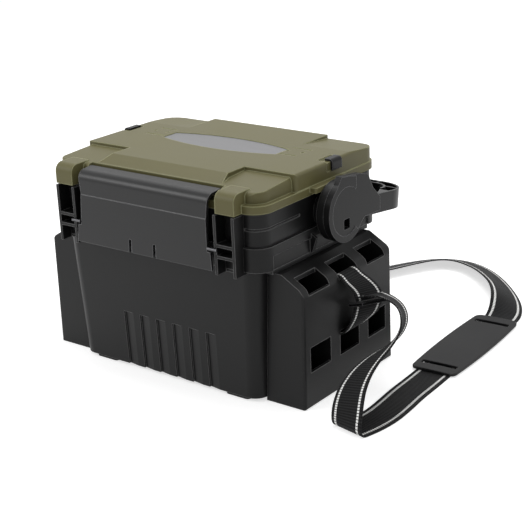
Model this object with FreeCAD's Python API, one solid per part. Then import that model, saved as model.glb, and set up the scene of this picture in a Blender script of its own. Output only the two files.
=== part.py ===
import FreeCAD, Part
import math
import os

# Fishing seat box: a deep tub with a rod block screwed to each end, a lid that opens to the back,
# a wide front latch hung on the lid, a bail handle that folds to the back, and a webbing shoulder
# strap looped through the middle rod pocket of each block and lying on the floor.
# Millimetres. X runs along the front, Y to the back, Z up, and Z = 0 is the floor. The shapes are drawn
# with Y = 0 at the middle of the tub, and saved with Y = 0 midway between the latch and the handle's grip.

V = FreeCAD.Vector
os.makedirs("parts", exist_ok=True)

# Tub, outside sizes
BAND_HALF = 181.5          # half length of the wide upper band
BAND_FRONT = 132.0         # from the origin to the band's front
BAND_REAR = 136.0          # from the origin to the band's back
BAND_CORNER = 25.0
BAND_Z0 = 186.0
BAND_Z1 = 218.0
BAND_LINE_Z = 205.0
NECK_INSET = 3.5           # the neck stands this far inside the band
RIM_Z = 260.5
LOWER_INSET_END = 15.0     # top of the lower shell, inside the band's ends
LOWER_INSET_SIDE = 6.0     # the same at the front and the back
TAPER_END = 8.2            # the lower shell narrows this much to the floor, each end
TAPER_SIDE = 6.0
LOWER_CORNER = 20.0
FOOT_HEIGHT = 5.0
WALL = 4.0
NECK_WALL = 3.0
FLOOR_WALL = 4.0
SKIRT_HALF = 108.0         # half width of the set back end skirt under the band
SKIRT_STEP = 2.0
GROOVE_Z = 241.0
GROOVE_HEIGHT = 3.0
GROOVE_DEPTH = 1.6
GROOVE_END_Y = -45.0

# Thin upright rib on each end, under the front of the handle's hub
HUB_RIB_Y = (-27.0, -23.0)
HUB_RIB_OUT = (8.5, 1.5)   # beyond the band's end, near the top and at the foot
HUB_RIB_Z = (214.0, 206.0, 186.0)

# Flutes pressed into the front wall
FLUTE_COUNT = 6
FLUTE_PITCH = 29.1
FLUTE_FIRST_X = -70.1
FLUTE_WIDTH = 17.0
FLUTE_DEPTH = 2.6
FLUTE_TOP_Z = 84.6

# Towers at the front corners
TOWER_WIDE = 33.0
TOWER_END_INSET = 28.5     # from the tower's outer side to the band's end
TOWER_FRONT = -148.5
TOWER_Z0 = 182.0
TOWER_POST = 4.0
SHELF_UPPER_Z = 219.0
SHELF_LOWER_Z = 204.0
SHELF_THICK = 4.0

# Rod blocks
BLOCK_DEEP = 38.9          # past the band's end
BLOCK_HALF_LOW = 104.1
BLOCK_HALF_HIGH = 101.9
BLOCK_BOTTOM = 0.6
BLOCK_TOP = 179.8
BLOCK_SHOULDER = 5.6       # past the band's end
BLOCK_SHOULDER_Z = 160.6
BLOCK_SHOULDER_R = 16.0
BLOCK_WALL = 4.5
BLOCK_GAP = 0.2            # between a block and the tub's end wall
POCKETS = ((-89.4, -44.0), (-22.2, 22.2), (44.3, 87.2))
POCKET_FLOOR_Z = 10.0
POCKET_MOUTH = 16.5        # past the band's end
LIP_Z = 153.6
WINDOW_Z0 = 48.6
WINDOW_Z1 = 82.8

# Lid
LID_GAP = 1.8              # from the rim to the lid's flange, filled by the seal
FLANGE_THICK = 10.7
FLANGE_OVER = 0.1          # the flange stands this far outside the band
PAD_INSET_END = 7.5
PAD_INSET_FRONT = 8.0
PAD_INSET_REAR = 4.4
PAD_CORNER = 20.0
PAD_FRONT_DROP = 9.1       # the pad's front edge below the deck
PAD_BACK_DROP = 4.7
PAD_EDGE_R = 7.0
DECK_RISE = 23.7           # the deck above the flange
DECK_END_INSET = 1.5
DECK_FRONT_Y = -89.2
SLOPE_FRONT_Y = -113.8
SLOPE_DROP = 9.5
SLOPE_HALF_TOP = 100.0
SLOPE_HALF_LOW = 108.0
DECK_SHOULDER_Y = -55.0    # front edge of the deck outside the slanted middle
EAR_Y = (-27.0, 47.0)       # outward ear of the flange over the handle's hub
EAR_TALL = 7.0
EAR_GAP = 1.0              # to the hub's disc
REAR_RECESS_X = 101.0
REAR_RECESS_Y = 70.0
REAR_RECESS_DROP = 5.6
LID_WALL = 3.0
LID_SKIRT_DEPTH = 7.0
LID_SKIRT_WALL = 3.0
LID_SKIRT_GAP = 0.6
PILLAR_STEP = 3.0          # the pillar's inner side, outside the tower's
PILLAR_X1 = 153.0
PILLAR_FRONT = -147.0
PILLAR_DROP = 6.7
PILLAR_R = 12.0

# Label plate and the marks round it
LABEL_HALF = 98.5
LABEL_MID_Y = 27.0
LABEL_HALF_WIDE = 29.8
LABEL_HALF_END = 14.5
LABEL_DEPTH = 2.0
LABEL_THICK = 1.2
SLOT_WIDTH = 2.4
MARK_DEPTH = 1.4
HOLE_LONG = 5.0
HOLE_WIDE = 3.2
DECK_SLOTS = ((101.0, 128.0, 18.5), (-134.6, -104.0, 18.5), (101.0, 130.0, 51.5), (-134.0, -106.0, 51.5))
DECK_HOLES = ((102.0, 36.0), (126.0, 36.0), (-110.0, 36.0), (-133.0, 36.0))

# End clips in the lid's side edges
CLIP_Y = 34.0
CLIP_WIDE = 22.0
CLIP_REACH = 12.0
CLIP_OUT = 1.5             # past the band's end
CLIP_NOTCH = 6.0           # the notch runs on inward past the clip
CLIP_NOTCH_FRONT = 8.5     # and this far in front of it
CLIP_PROUD = 1.3
CLIP_TALL = 15.0
CLIP_THICK = 3.0
CLIP_GAP = 0.3

# Hinges at the back
HINGE_Y = 140.0
HINGE_Z = 259.0
HINGE_R = 5.5
HINGE_PIN_R = 2.0
RUNNING = 0.05
HINGE_X = 90.0
HINGE_LENGTH = 40.0
HINGE_MIDDLE = 19.4        # the lid's knuckle, between the tub's two
HINGE_SIDE_GAP = 0.3

# Front latch
LATCH_AXIS_Y = -120.2
LATCH_AXIS_RISE = 8.0      # above the flange
LATCH_BARREL_R = 5.0
LATCH_PIN_R = 2.0
LATCH_THICK = 3.5
LATCH_TOP_RISE = 5.0       # above the axis
LATCH_BEND_Y = -147.2
LATCH_BEND_Z = 264.0
LATCH_BEND_R = 13.0        # outside radius of the rolled front edge
LATCH_CREASE_Z = 252.5
LATCH_CREASE_Y = -148.0
CREASE_STEP = 0.7
LATCH_LOW_Y = -151.7
LATCH_BOTTOM_Z = 186.5
LATCH_SIDE_TOP = 8.5       # from the latch's side to the tower, at the top
LATCH_SIDE_CREASE = 12.0
LATCH_SIDE_NUB = 10.5
LATCH_SHOULDER_Z = 211.0
LATCH_SIDE_WIDE = 5.5
LATCH_SIDE_LOW = 3.1
LATCH_SLOT_X = 21.0
LATCH_SLOT_WIDE = 4.6
LATCH_SLOT_TOP = 205.0
LATCH_RIB_DEPTH = 7.0
LATCH_RIB_WALL = 2.5
LUG_X = (-70.0, 0.0, 70.0)
LUG_HALF = 5.0
LUG_R = 3.3                # round the rod, under the latch's top plate

# Catches of the front latch
NUB_OUT = 9.6              # how far the nub stands out of the tower
NUB_Y = -149.8
NUB_Z = 215.3
NUB_R = 2.0
NUB_IN = 6.0               # how far the nub reaches into the tower
ROD_Y = -141.0
ROD_Z = 198.0
ROD_R = 2.0
ROD_HALF = 33.0
ROD_LUG_X = 28.0
ROD_LUG_THICK = 5.0
ROD_LUG_NOSE = 4.5         # the lug reaches this far past the rod's axis
HOOK_HALF = 16.0
HOOK_TOP = 193.5
HOOK_REAR = -139.5

# Carrying handle
PIVOT_Y = 10.0
PIVOT_Z = 236.0
HANDLE_SLOPE = -7.4        # degrees, the arms folded to the back
BOSS_NECK_R = 26.0
BOSS_R = 40.0
BOSS_NECK = 11.0           # past the band's end, as the next four
BOSS_FACE = 22.0
HANDLE_GAP = 0.3
PLATE_FACE = 31.0
RING_FACE = 32.0
PLATE_R = 41.0
RING_R = 32.5
AXLE_R = 5.0
AXLE_END = 29.0
AXLE_HEAD_R = 9.0
AXLE_HEAD = 4.0
ARM_HALF_HEIGHT = 13.2
GRIP_OUT = 162.0           # from the pivot to the grip's outer face
GRIP_WIDE = 18.0
ARM_OUT = 30.0             # past the band's end
ARM_IN = 7.0
ARM_BEND_R = 46.0
ARM_BEND_IN_R = 26.0
ARM_FULL = 44.0            # from the grip's outer face, where the arm has its full channel width
CHANNEL_WALL = 2.8
CHANNEL_DEEP = 7.0
GRIP_RIBS = (0.33, 0.66, 0.90)    # places of the cross ribs, as shares of half the grip
ARM_RIB_IN = 30.0          # the arm's cross rib, from the grip's outer face
ARM_ROOM = 12.0            # past the plate's edge, where the arm leaves the boss
# Outlines on the hub, as (Y, Z, corner radius) from the pivot
HUB_LOBE = ((-20.0, 30.0, 0.0), (-10.5, 48.4, 2.0), (8.3, 46.0, 20.0), (34.0, 42.6, 8.0), (52.0, 37.0, 10.0),
            (63.0, 16.0, 12.0), (80.0, 0.0, 0.0), (80.0, -20.0, 0.0), (42.0, -18.0, 12.0), (20.0, -36.0, 0.0))
HUB_TAB = ((-20.0, 36.0, 0.0), (-10.5, 48.0, 1.5), (3.0, 46.2, 20.0), (23.7, 42.0, 2.0), (22.5, 29.5, 0.0))
HUB_RING_GAP = ((22.5, 60.0, 0.0), (22.5, 28.0, 0.0), (10.0, 0.0, 0.0), (21.0, -27.0, 0.0), (80.0, -86.0, 0.0),
                (80.0, 60.0, 0.0))
SQUARE_HOLE = 13.6
SQUARE_HOLE_Y = 10.2
SQUARE_HOLE_Z = 219.0

# Feet
FOOT_INSET = 64.0          # from the foot's middle to the band's end
FOOT_LONG = 39.0
FOOT_DEEP = 22.0
FOOT_FRONT = -116.0
FOOT_REAR = 120.0
FOOT_STEM_R = 4.0
FOOT_STEM_GAP = 0.05

# Screws that hold the blocks on
SCREW_Y = (-33.0, 33.0)
SCREW_Z = (45.0, 130.0)
SCREW_R = 2.0
SCREW_HEAD_R = 4.5
SCREW_HEAD = 2.6
SCREW_LENGTH = 16.0
SCREW_BOSS_R = 7.0
SCREW_SEAT = 14.5          # inside the top of the lower shell's end

# Webbing
WEB_WIDE = 50.0
WEB_THICK = 1.8
STRAP_DRAWN_AT = 220.4     # the block's end face that the rows of the routes were laid for
WEB_SQUEEZED = 43.0        # width where it is curled into a rod pocket
SLIDER_LONG = 26.0
SLIDER_WIDE = 60.0
SLIDER_THICK = 4.0
SLIDER_SLOT = 5.0
SLIDER_AT = (244.0, 18.0, 117.0)
SLIDER_ALONG = (0.925, -0.213, 0.311)    # the way the webbing runs through it
PAD_LONG = 212.0
PAD_WIDE = 65.0
PAD_THICK = 4.5
PAD_LOW_Z = 2.4            # just above the webbing that it lies on
PAD_FROM = (298.5, 82.0)   # two points on the pad's middle line
PAD_TO = (287.0, 288.5)
PAD_BULGE = 4.0
PAD_SLOT_WIDE = 9.0
PAD_SLOT_AT = 22.0         # from the pad's end to its slot

# Values that follow
NECK_HALF = BAND_HALF - NECK_INSET
NECK_FRONT = BAND_FRONT - NECK_INSET
NECK_REAR = BAND_REAR - NECK_INSET
NECK_CORNER = BAND_CORNER - NECK_INSET
LOWER_HALF = BAND_HALF - LOWER_INSET_END
LOWER_FRONT = BAND_FRONT - LOWER_INSET_SIDE
LOWER_REAR = BAND_REAR - LOWER_INSET_SIDE
FLANGE_Z0 = RIM_Z + LID_GAP
FLANGE_Z1 = FLANGE_Z0 + FLANGE_THICK
FLANGE_HALF = BAND_HALF + FLANGE_OVER
DECK_Z = FLANGE_Z1 + DECK_RISE
PAD_FRONT_Z = DECK_Z - PAD_FRONT_DROP
PAD_BACK_Z = DECK_Z - PAD_BACK_DROP
SLOPE_FRONT_Z = DECK_Z - SLOPE_DROP
PILLAR_TOP_Z = DECK_Z - PILLAR_DROP
TOWER_X1 = BAND_HALF - TOWER_END_INSET
TOWER_X0 = TOWER_X1 - TOWER_WIDE
PILLAR_X0 = TOWER_X0 + PILLAR_STEP
PILLAR_X1 = TOWER_X1
BLOCK_END = BAND_HALF + BLOCK_DEEP
BLOCK_SHOULDER_X = BAND_HALF + BLOCK_SHOULDER
POCKET_MOUTH_X = BAND_HALF + POCKET_MOUTH
CLIP_X1 = BAND_HALF + CLIP_OUT
CLIP_X0 = CLIP_X1 - CLIP_REACH
CLIP_NOTCH_X = CLIP_X0 - CLIP_NOTCH
CLIP_TOP_Z = DECK_Z + CLIP_PROUD
CLIP_LOW_Z = CLIP_TOP_Z - CLIP_TALL
LATCH_AXIS_Z = FLANGE_Z1 + LATCH_AXIS_RISE
LATCH_TOP_Z = LATCH_AXIS_Z + LATCH_TOP_RISE
LATCH_HALF_TOP = TOWER_X0 - LATCH_SIDE_TOP
LATCH_HALF_CREASE = TOWER_X0 - LATCH_SIDE_CREASE
LATCH_HALF_NUB = TOWER_X0 - LATCH_SIDE_NUB
LATCH_HALF_WIDE = TOWER_X0 - LATCH_SIDE_WIDE
LATCH_HALF_LOW = TOWER_X0 - LATCH_SIDE_LOW
NUB_X0 = TOWER_X0 - NUB_OUT
NUB_SOCKET_X = TOWER_X0 + NUB_IN
BOSS_NECK_X = BAND_HALF + BOSS_NECK
BOSS_FACE_X = BAND_HALF + BOSS_FACE
PLATE_X1 = BAND_HALF + PLATE_FACE
RING_X1 = BAND_HALF + RING_FACE
AXLE_END_X = BAND_HALF + AXLE_END
ARM_OUT_X = BAND_HALF + ARM_OUT
ARM_IN_X = BAND_HALF + ARM_IN
SCREW_SEAT_X = LOWER_HALF - SCREW_SEAT
STRAP_SHIFT = BLOCK_END - STRAP_DRAWN_AT
GRIP_IN = GRIP_OUT - GRIP_WIDE
ARM_WIDEN = GRIP_OUT - ARM_FULL
ARM_RIB = GRIP_OUT - ARM_RIB_IN
FOOT_X = BAND_HALF - FOOT_INSET
ORIGIN_Y = 9.8             # from the tub's middle back to the saved origin
CLEAR = 30.0               # cutters reach this far past what they cut


def box(x0, x1, y0, y1, z0, z1):
    return Part.makeBox(x1 - x0, y1 - y0, z1 - z0, V(x0, y0, z0))


def cylinder_x(x0, x1, y, z, r):
    return Part.makeCylinder(r, x1 - x0, V(x0, y, z), V(1, 0, 0))


def cylinder_z(x, y, z0, z1, r):
    return Part.makeCylinder(r, z1 - z0, V(x, y, z0), V(0, 0, 1))


def mirrored(shape):
    return shape.mirror(V(0, 0, 0), V(1, 0, 0))


def both_ends(shape):
    return [shape, mirrored(shape)]


def half_turned(shape):
    """The same shape turned half round the Z axis: the strap's other end."""
    copy = shape.copy()
    copy.rotate(V(0, 0, 0), V(0, 0, 1), 180)
    return copy


def outline(points, place):
    """Closed wire through (a, b, radius) corners. place(a, b) gives the point in space."""
    flat = [V(p[0], p[1], 0) for p in points]
    radii = [p[2] if len(p) > 2 else 0.0 for p in points]
    pieces = []
    count = len(flat)
    for i in range(count):
        here = flat[i]
        if radii[i] <= 0:
            pieces.append((here,))
            continue
        back = (flat[i - 1] - here).normalize()
        ahead = (flat[(i + 1) % count] - here).normalize()
        half = back.getAngle(ahead) / 2
        run = radii[i] / math.tan(half)
        middle = (back + ahead).normalize()
        centre = here + middle * (radii[i] / math.sin(half))
        nearest = centre - middle * radii[i]
        pieces.append((here + back * run, nearest, here + ahead * run))
    edges = []
    for i in range(count):
        piece = [place(p.x, p.y) for p in pieces[i]]
        following = place(pieces[(i + 1) % count][0].x, pieces[(i + 1) % count][0].y)
        if len(piece) == 3:
            edges.append(Part.Arc(*piece).toShape())
        if piece[-1].distanceToPoint(following) > 1e-6:
            edges.append(Part.LineSegment(piece[-1], following).toShape())
    return Part.Wire(edges)


def prism_x(points, x0, x1):
    wire = outline(points, lambda y, z: V(x0, y, z))
    return Part.Face(wire).extrude(V(x1 - x0, 0, 0))


def prism_y(points, y0, y1):
    wire = outline(points, lambda x, z: V(x, y0, z))
    return Part.Face(wire).extrude(V(0, y1 - y0, 0))


def prism_z(points, z0, z1):
    wire = outline(points, lambda x, y: V(x, y, z0))
    return Part.Face(wire).extrude(V(0, 0, z1 - z0))


def plan(half, front, rear, corner, z):
    """Rounded rectangle at height z, symmetric in X, from -front to rear in Y."""
    corners = [(-half, -front), (half, -front), (half, rear), (-half, rear)]
    return outline([(x, y, corner) for x, y in corners], lambda x, y: V(x, y, z))


def stack(levels):
    """Straight sided solid through rounded rectangles: (half, front, rear, corner, z)."""
    return Part.makeLoft([plan(*level) for level in levels], True, True)


def straight(half, front, rear, corner, z0, z1):
    return Part.Face(plan(half, front, rear, corner, z0)).extrude(V(0, 0, z1 - z0))


def lower_end(z):
    """Half length of the tub's lower shell at height z."""
    share = (z - FOOT_HEIGHT) / (BAND_Z0 - FOOT_HEIGHT)
    return LOWER_HALF - TAPER_END * (1 - share)


def lower_front(z):
    share = (z - FOOT_HEIGHT) / (BAND_Z0 - FOOT_HEIGHT)
    return LOWER_FRONT - TAPER_SIDE * (1 - share)


def lower_level(z, inset):
    rear = LOWER_REAR - LOWER_FRONT + lower_front(z)
    return (lower_end(z) - inset, lower_front(z) - inset, rear - inset, LOWER_CORNER - inset, z)


def save(name, shape):
    shape = shape.copy()
    shape.translate(V(0, -ORIGIN_Y, 0))
    solids = shape.Solids
    if not shape.isValid():
        print("invalid shape:", name)
    volume = sum(s.Volume for s in solids)
    box_size = shape.BoundBox
    print("%s: %d solid(s), %.0f mm3, Z %.1f to %.1f"
          % (name, len(solids), volume, box_size.ZMin, box_size.ZMax))
    shape.exportStep("parts/" + name + ".step")


# Tub

def flute(x):
    """Cutter for one flute: a steep left side that fades out to the right."""
    face = -lower_front(FOOT_HEIGHT)
    section = [V(x, face - CLEAR, 0), V(x, face + FLUTE_DEPTH, 0),
               V(x + FLUTE_WIDTH, face, 0), V(x + FLUTE_WIDTH, face - CLEAR, 0)]
    base = Part.Face(Part.makePolygon(section + [section[0]]))
    base.translate(V(0, 0, FOOT_HEIGHT - CLEAR))
    body = base.extrude(V(0, 0, FLUTE_TOP_Z - FOOT_HEIGHT + CLEAR))
    lean = math.degrees(math.atan2(TAPER_SIDE, BAND_Z0 - FOOT_HEIGHT))
    body.rotate(V(0, face, FOOT_HEIGHT), V(1, 0, 0), lean)
    return body


def tower():
    """Corner tower with its window, slot and foot gap open to the wall behind it."""
    inner = -NECK_FRONT + NECK_WALL
    body = box(TOWER_X0, TOWER_X1, TOWER_FRONT, inner, TOWER_Z0, RIM_Z)
    mid0 = TOWER_X0 + TOWER_POST
    mid1 = TOWER_X1 - TOWER_POST
    front = TOWER_FRONT - CLEAR
    upper = SHELF_UPPER_Z + SHELF_THICK
    between = SHELF_LOWER_Z + SHELF_THICK
    gaps = [box(mid0, mid1, front, inner, upper, RIM_Z + CLEAR),
            box(mid0, mid1, front, inner, between, SHELF_UPPER_Z),
            box(mid0, mid1, front, -BAND_FRONT, TOWER_Z0 - 1, SHELF_LOWER_Z)]
    return body.cut(gaps)


def hub_rib():
    root = BAND_HALF - WALL
    top, knee, low = HUB_RIB_Z
    far, near = HUB_RIB_OUT
    shape = [(root, top), (BAND_HALF + far, knee), (BAND_HALF + near, low), (root, low)]
    return prism_y(shape, *HUB_RIB_Y)


def hinge_knuckles(middle):
    """Knuckles of one hinge group: the lid's middle one, or the tub's outer pair."""
    half = HINGE_MIDDLE / 2
    if middle:
        return [(HINGE_X - half, HINGE_X + half)]
    outer = HINGE_LENGTH / 2
    inner = half + HINGE_SIDE_GAP
    return [(HINGE_X - outer, HINGE_X - inner), (HINGE_X + inner, HINGE_X + outer)]


def tub():
    """Lower shell, band, neck and one corner tower, which meet face to face."""
    shell = stack([lower_level(FOOT_HEIGHT, 0), lower_level(BAND_Z0, 0)])
    band = straight(BAND_HALF, BAND_FRONT, BAND_REAR, BAND_CORNER, BAND_Z0, BAND_Z1)
    neck = straight(NECK_HALF, NECK_FRONT, NECK_REAR, NECK_CORNER, BAND_Z1, RIM_Z)
    step = BAND_HALF - SKIRT_STEP
    for notch in both_ends(box(step, step + CLEAR, -SKIRT_HALF, SKIRT_HALF, BAND_Z0 - 1, BAND_LINE_Z)):
        band = band.cut(notch)
    skirt = box(LOWER_HALF - WALL - 2, step, -SKIRT_HALF, SKIRT_HALF, BLOCK_TOP + 0.5, BAND_Z0)
    add = [band, neck] + both_ends(skirt) + both_ends(hub_rib())
    for x0, x1 in hinge_knuckles(False):
        knuckle = cylinder_x(x0, x1, HINGE_Y, HINGE_Z, HINGE_R)
        web = box(x0, x1, NECK_REAR - 1, HINGE_Y, HINGE_Z - HINGE_R, HINGE_Z)
        add += both_ends(knuckle) + both_ends(web)
    nose = ROD_LUG_NOSE
    lug = prism_x([(-BAND_FRONT + 1, ROD_Z - nose - 3), (ROD_Y - nose, ROD_Z - nose, 3.0),
                   (ROD_Y - nose, ROD_Z + nose, 3.0), (-BAND_FRONT + 1, ROD_Z + 2 * nose + 1)],
                  ROD_LUG_X, ROD_LUG_X + ROD_LUG_THICK)
    add += both_ends(lug)
    body = shell.fuse(add)
    corner = tower().cut(body)
    low = FOOT_HEIGHT + FLOOR_WALL
    cavity = stack([lower_level(low, WALL), lower_level(BAND_Z0 + WALL, WALL)])
    upper = straight(NECK_HALF - NECK_WALL, NECK_FRONT - NECK_WALL, NECK_REAR - NECK_WALL,
                     NECK_CORNER - NECK_WALL, BAND_Z0 + WALL, RIM_Z + CLEAR)
    body = body.cut([cavity, upper])
    bosses = []
    holes = []
    for y in SCREW_Y:
        for z in SCREW_Z:
            wall = lower_end(z)
            bosses += both_ends(cylinder_x(SCREW_SEAT_X, wall - WALL / 2, y, z, SCREW_BOSS_R))
            holes += both_ends(cylinder_x(SCREW_SEAT_X - CLEAR, wall + 2, y, z, SCREW_R + RUNNING))
    body = body.fuse(bosses)
    holes += [flute(FLUTE_FIRST_X + i * FLUTE_PITCH) for i in range(FLUTE_COUNT)]
    for x0, x1 in hinge_knuckles(False):
        hole = cylinder_x(x0 - 1, x1 + 1, HINGE_Y, HINGE_Z, HINGE_PIN_R + RUNNING)
        holes += both_ends(hole)
    holes.append(cylinder_x(-ROD_HALF - 2, ROD_HALF + 2, ROD_Y, ROD_Z, ROD_R + RUNNING))
    corner = corner.cut(cylinder_x(NUB_X0 - 1, NUB_SOCKET_X, NUB_Y, NUB_Z, NUB_R + RUNNING))
    holes += both_ends(cylinder_x(NECK_HALF - CLEAR, NECK_HALF + CLEAR, PIVOT_Y, PIVOT_Z, AXLE_R + RUNNING))
    for x, y in foot_places():
        holes.append(cylinder_z(x, y, 0, low + 1, FOOT_STEM_R + FOOT_STEM_GAP))
    body = body.cut(holes)
    body = body.cut(groove())
    reach = BAND_HALF + CLEAR
    above = box(-reach, reach, -reach, reach, BAND_Z0, RIM_Z + CLEAR)
    top = box(-reach, reach, -reach, reach, BAND_Z1, RIM_Z + CLEAR)
    band = body.common(above).cut(top)
    neck = body.common(top)
    return [piece.removeSplitter() for piece in (body.cut(above), band, neck, corner)]


def groove():
    """Shallow groove round each front corner of the neck."""
    z0 = GROOVE_Z - GROOVE_HEIGHT / 2
    z1 = GROOVE_Z + GROOVE_HEIGHT / 2
    outside = straight(NECK_HALF + CLEAR, NECK_FRONT + CLEAR, NECK_REAR, NECK_CORNER, z0, z1)
    inside = straight(NECK_HALF - GROOVE_DEPTH, NECK_FRONT - GROOVE_DEPTH, NECK_REAR - GROOVE_DEPTH,
                      NECK_CORNER - GROOVE_DEPTH, z0, z1)
    ring = outside.cut(inside)
    corner = box(TOWER_X1, NECK_HALF + CLEAR, -NECK_FRONT - CLEAR, GROOVE_END_Y, z0, z1)
    return [ring.common(c) for c in both_ends(corner)]


# Rod block

def rod_block():
    inner_low = lower_end(BLOCK_BOTTOM) + BLOCK_GAP
    inner_high = lower_end(BLOCK_TOP) + BLOCK_GAP
    profile = [(inner_low, BLOCK_BOTTOM), (BLOCK_END, BLOCK_BOTTOM, 2.0), (BLOCK_END, BLOCK_SHOULDER_Z, BLOCK_SHOULDER_R),
               (BLOCK_SHOULDER_X, BLOCK_TOP, 5.0), (inner_high, BLOCK_TOP)]
    body = prism_y(profile, -BLOCK_HALF_LOW - 5, BLOCK_HALF_LOW + 5)
    wires = []
    for half, z in ((BLOCK_HALF_LOW, 0.0), (BLOCK_HALF_HIGH, BLOCK_TOP + 1)):
        corners = [(100, -half), (BLOCK_END, -half, 4.0), (BLOCK_END, half, 4.0), (100, half)]
        wires.append(outline(corners, lambda x, y, z=z: V(x, y, z)))
    body = body.common(Part.makeLoft(wires, True, True))
    cuts = []
    outer = BLOCK_END - BLOCK_WALL
    inner = inner_low + BLOCK_WALL
    inner_up = lower_end(LIP_Z) + BLOCK_GAP + BLOCK_WALL
    for y0, y1 in POCKETS:
        pocket = [(inner, POCKET_FLOOR_Z), (outer, POCKET_FLOOR_Z), (outer, BLOCK_TOP + CLEAR),
                  (POCKET_MOUTH_X, BLOCK_TOP + CLEAR), (POCKET_MOUTH_X, LIP_Z + 14), (inner_up, LIP_Z)]
        cuts.append(prism_y(pocket, y0, y1))
        mouth = [(POCKET_MOUTH_X, LIP_Z, 0.0), (BLOCK_END + CLEAR, LIP_Z), (BLOCK_END + CLEAR, BLOCK_TOP + CLEAR),
                 (POCKET_MOUTH_X, BLOCK_TOP + CLEAR)]
        cuts.append(prism_y(mouth, y0, y1))
        cuts.append(box(outer - 1, BLOCK_END + CLEAR, y0, y1, WINDOW_Z0, WINDOW_Z1))
    return body, cuts


def block_hollows():
    """Spaces between the pockets, open below, with a solid strip left for the screws."""
    cuts = []
    top = LIP_Z - 10
    x0 = lower_end(top) + BLOCK_GAP + SCREW_LENGTH
    x1 = BLOCK_END - BLOCK_WALL
    edges = [-BLOCK_HALF_HIGH] + [y for pair in POCKETS for y in pair] + [BLOCK_HALF_HIGH]
    for y0, y1 in zip(edges[0::2], edges[1::2]):
        cuts.append(box(x0, x1, y0 + BLOCK_WALL * 0.8, y1 - BLOCK_WALL * 0.8, BLOCK_BOTTOM - 1, top))
    return cuts


def finished_block():
    body, cuts = rod_block()
    cuts += block_hollows()
    for y in SCREW_Y:
        for z in SCREW_Z:
            end = SCREW_SEAT_X + SCREW_LENGTH + 1
            cuts.append(cylinder_x(SCREW_SEAT_X, end, y, z, SCREW_R + RUNNING))
    return body.cut(cuts).removeSplitter()


def block_screws():
    screws = []
    for y in SCREW_Y:
        for z in SCREW_Z:
            head = cylinder_x(SCREW_SEAT_X - SCREW_HEAD, SCREW_SEAT_X, y, z, SCREW_HEAD_R)
            shank = cylinder_x(SCREW_SEAT_X, SCREW_SEAT_X + SCREW_LENGTH, y, z, SCREW_R)
            screws.append(head.fuse(shank).removeSplitter())
    return Part.Compound(screws)


# Feet and catches

def foot_places():
    places = []
    for y in (FOOT_FRONT + FOOT_DEEP / 2, FOOT_REAR - FOOT_DEEP / 2):
        for x in (-FOOT_X, FOOT_X):
            places.append((x, y))
    return places


def foot(x, y):
    half_x = FOOT_LONG / 2
    half_y = FOOT_DEEP / 2
    corners = [(x - half_x, y - half_y, 5.0), (x + half_x, y - half_y, 5.0),
               (x + half_x, y + half_y, 5.0), (x - half_x, y + half_y, 5.0)]
    pad = prism_z(corners, 0, FOOT_HEIGHT)
    stem = cylinder_z(x, y, FOOT_HEIGHT, FOOT_HEIGHT + FLOOR_WALL + 2, FOOT_STEM_R)
    return pad.fuse(stem).removeSplitter()


def catch_nub():
    return cylinder_x(NUB_X0, NUB_SOCKET_X - 0.2, NUB_Y, NUB_Z, NUB_R)


# Lid

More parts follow.
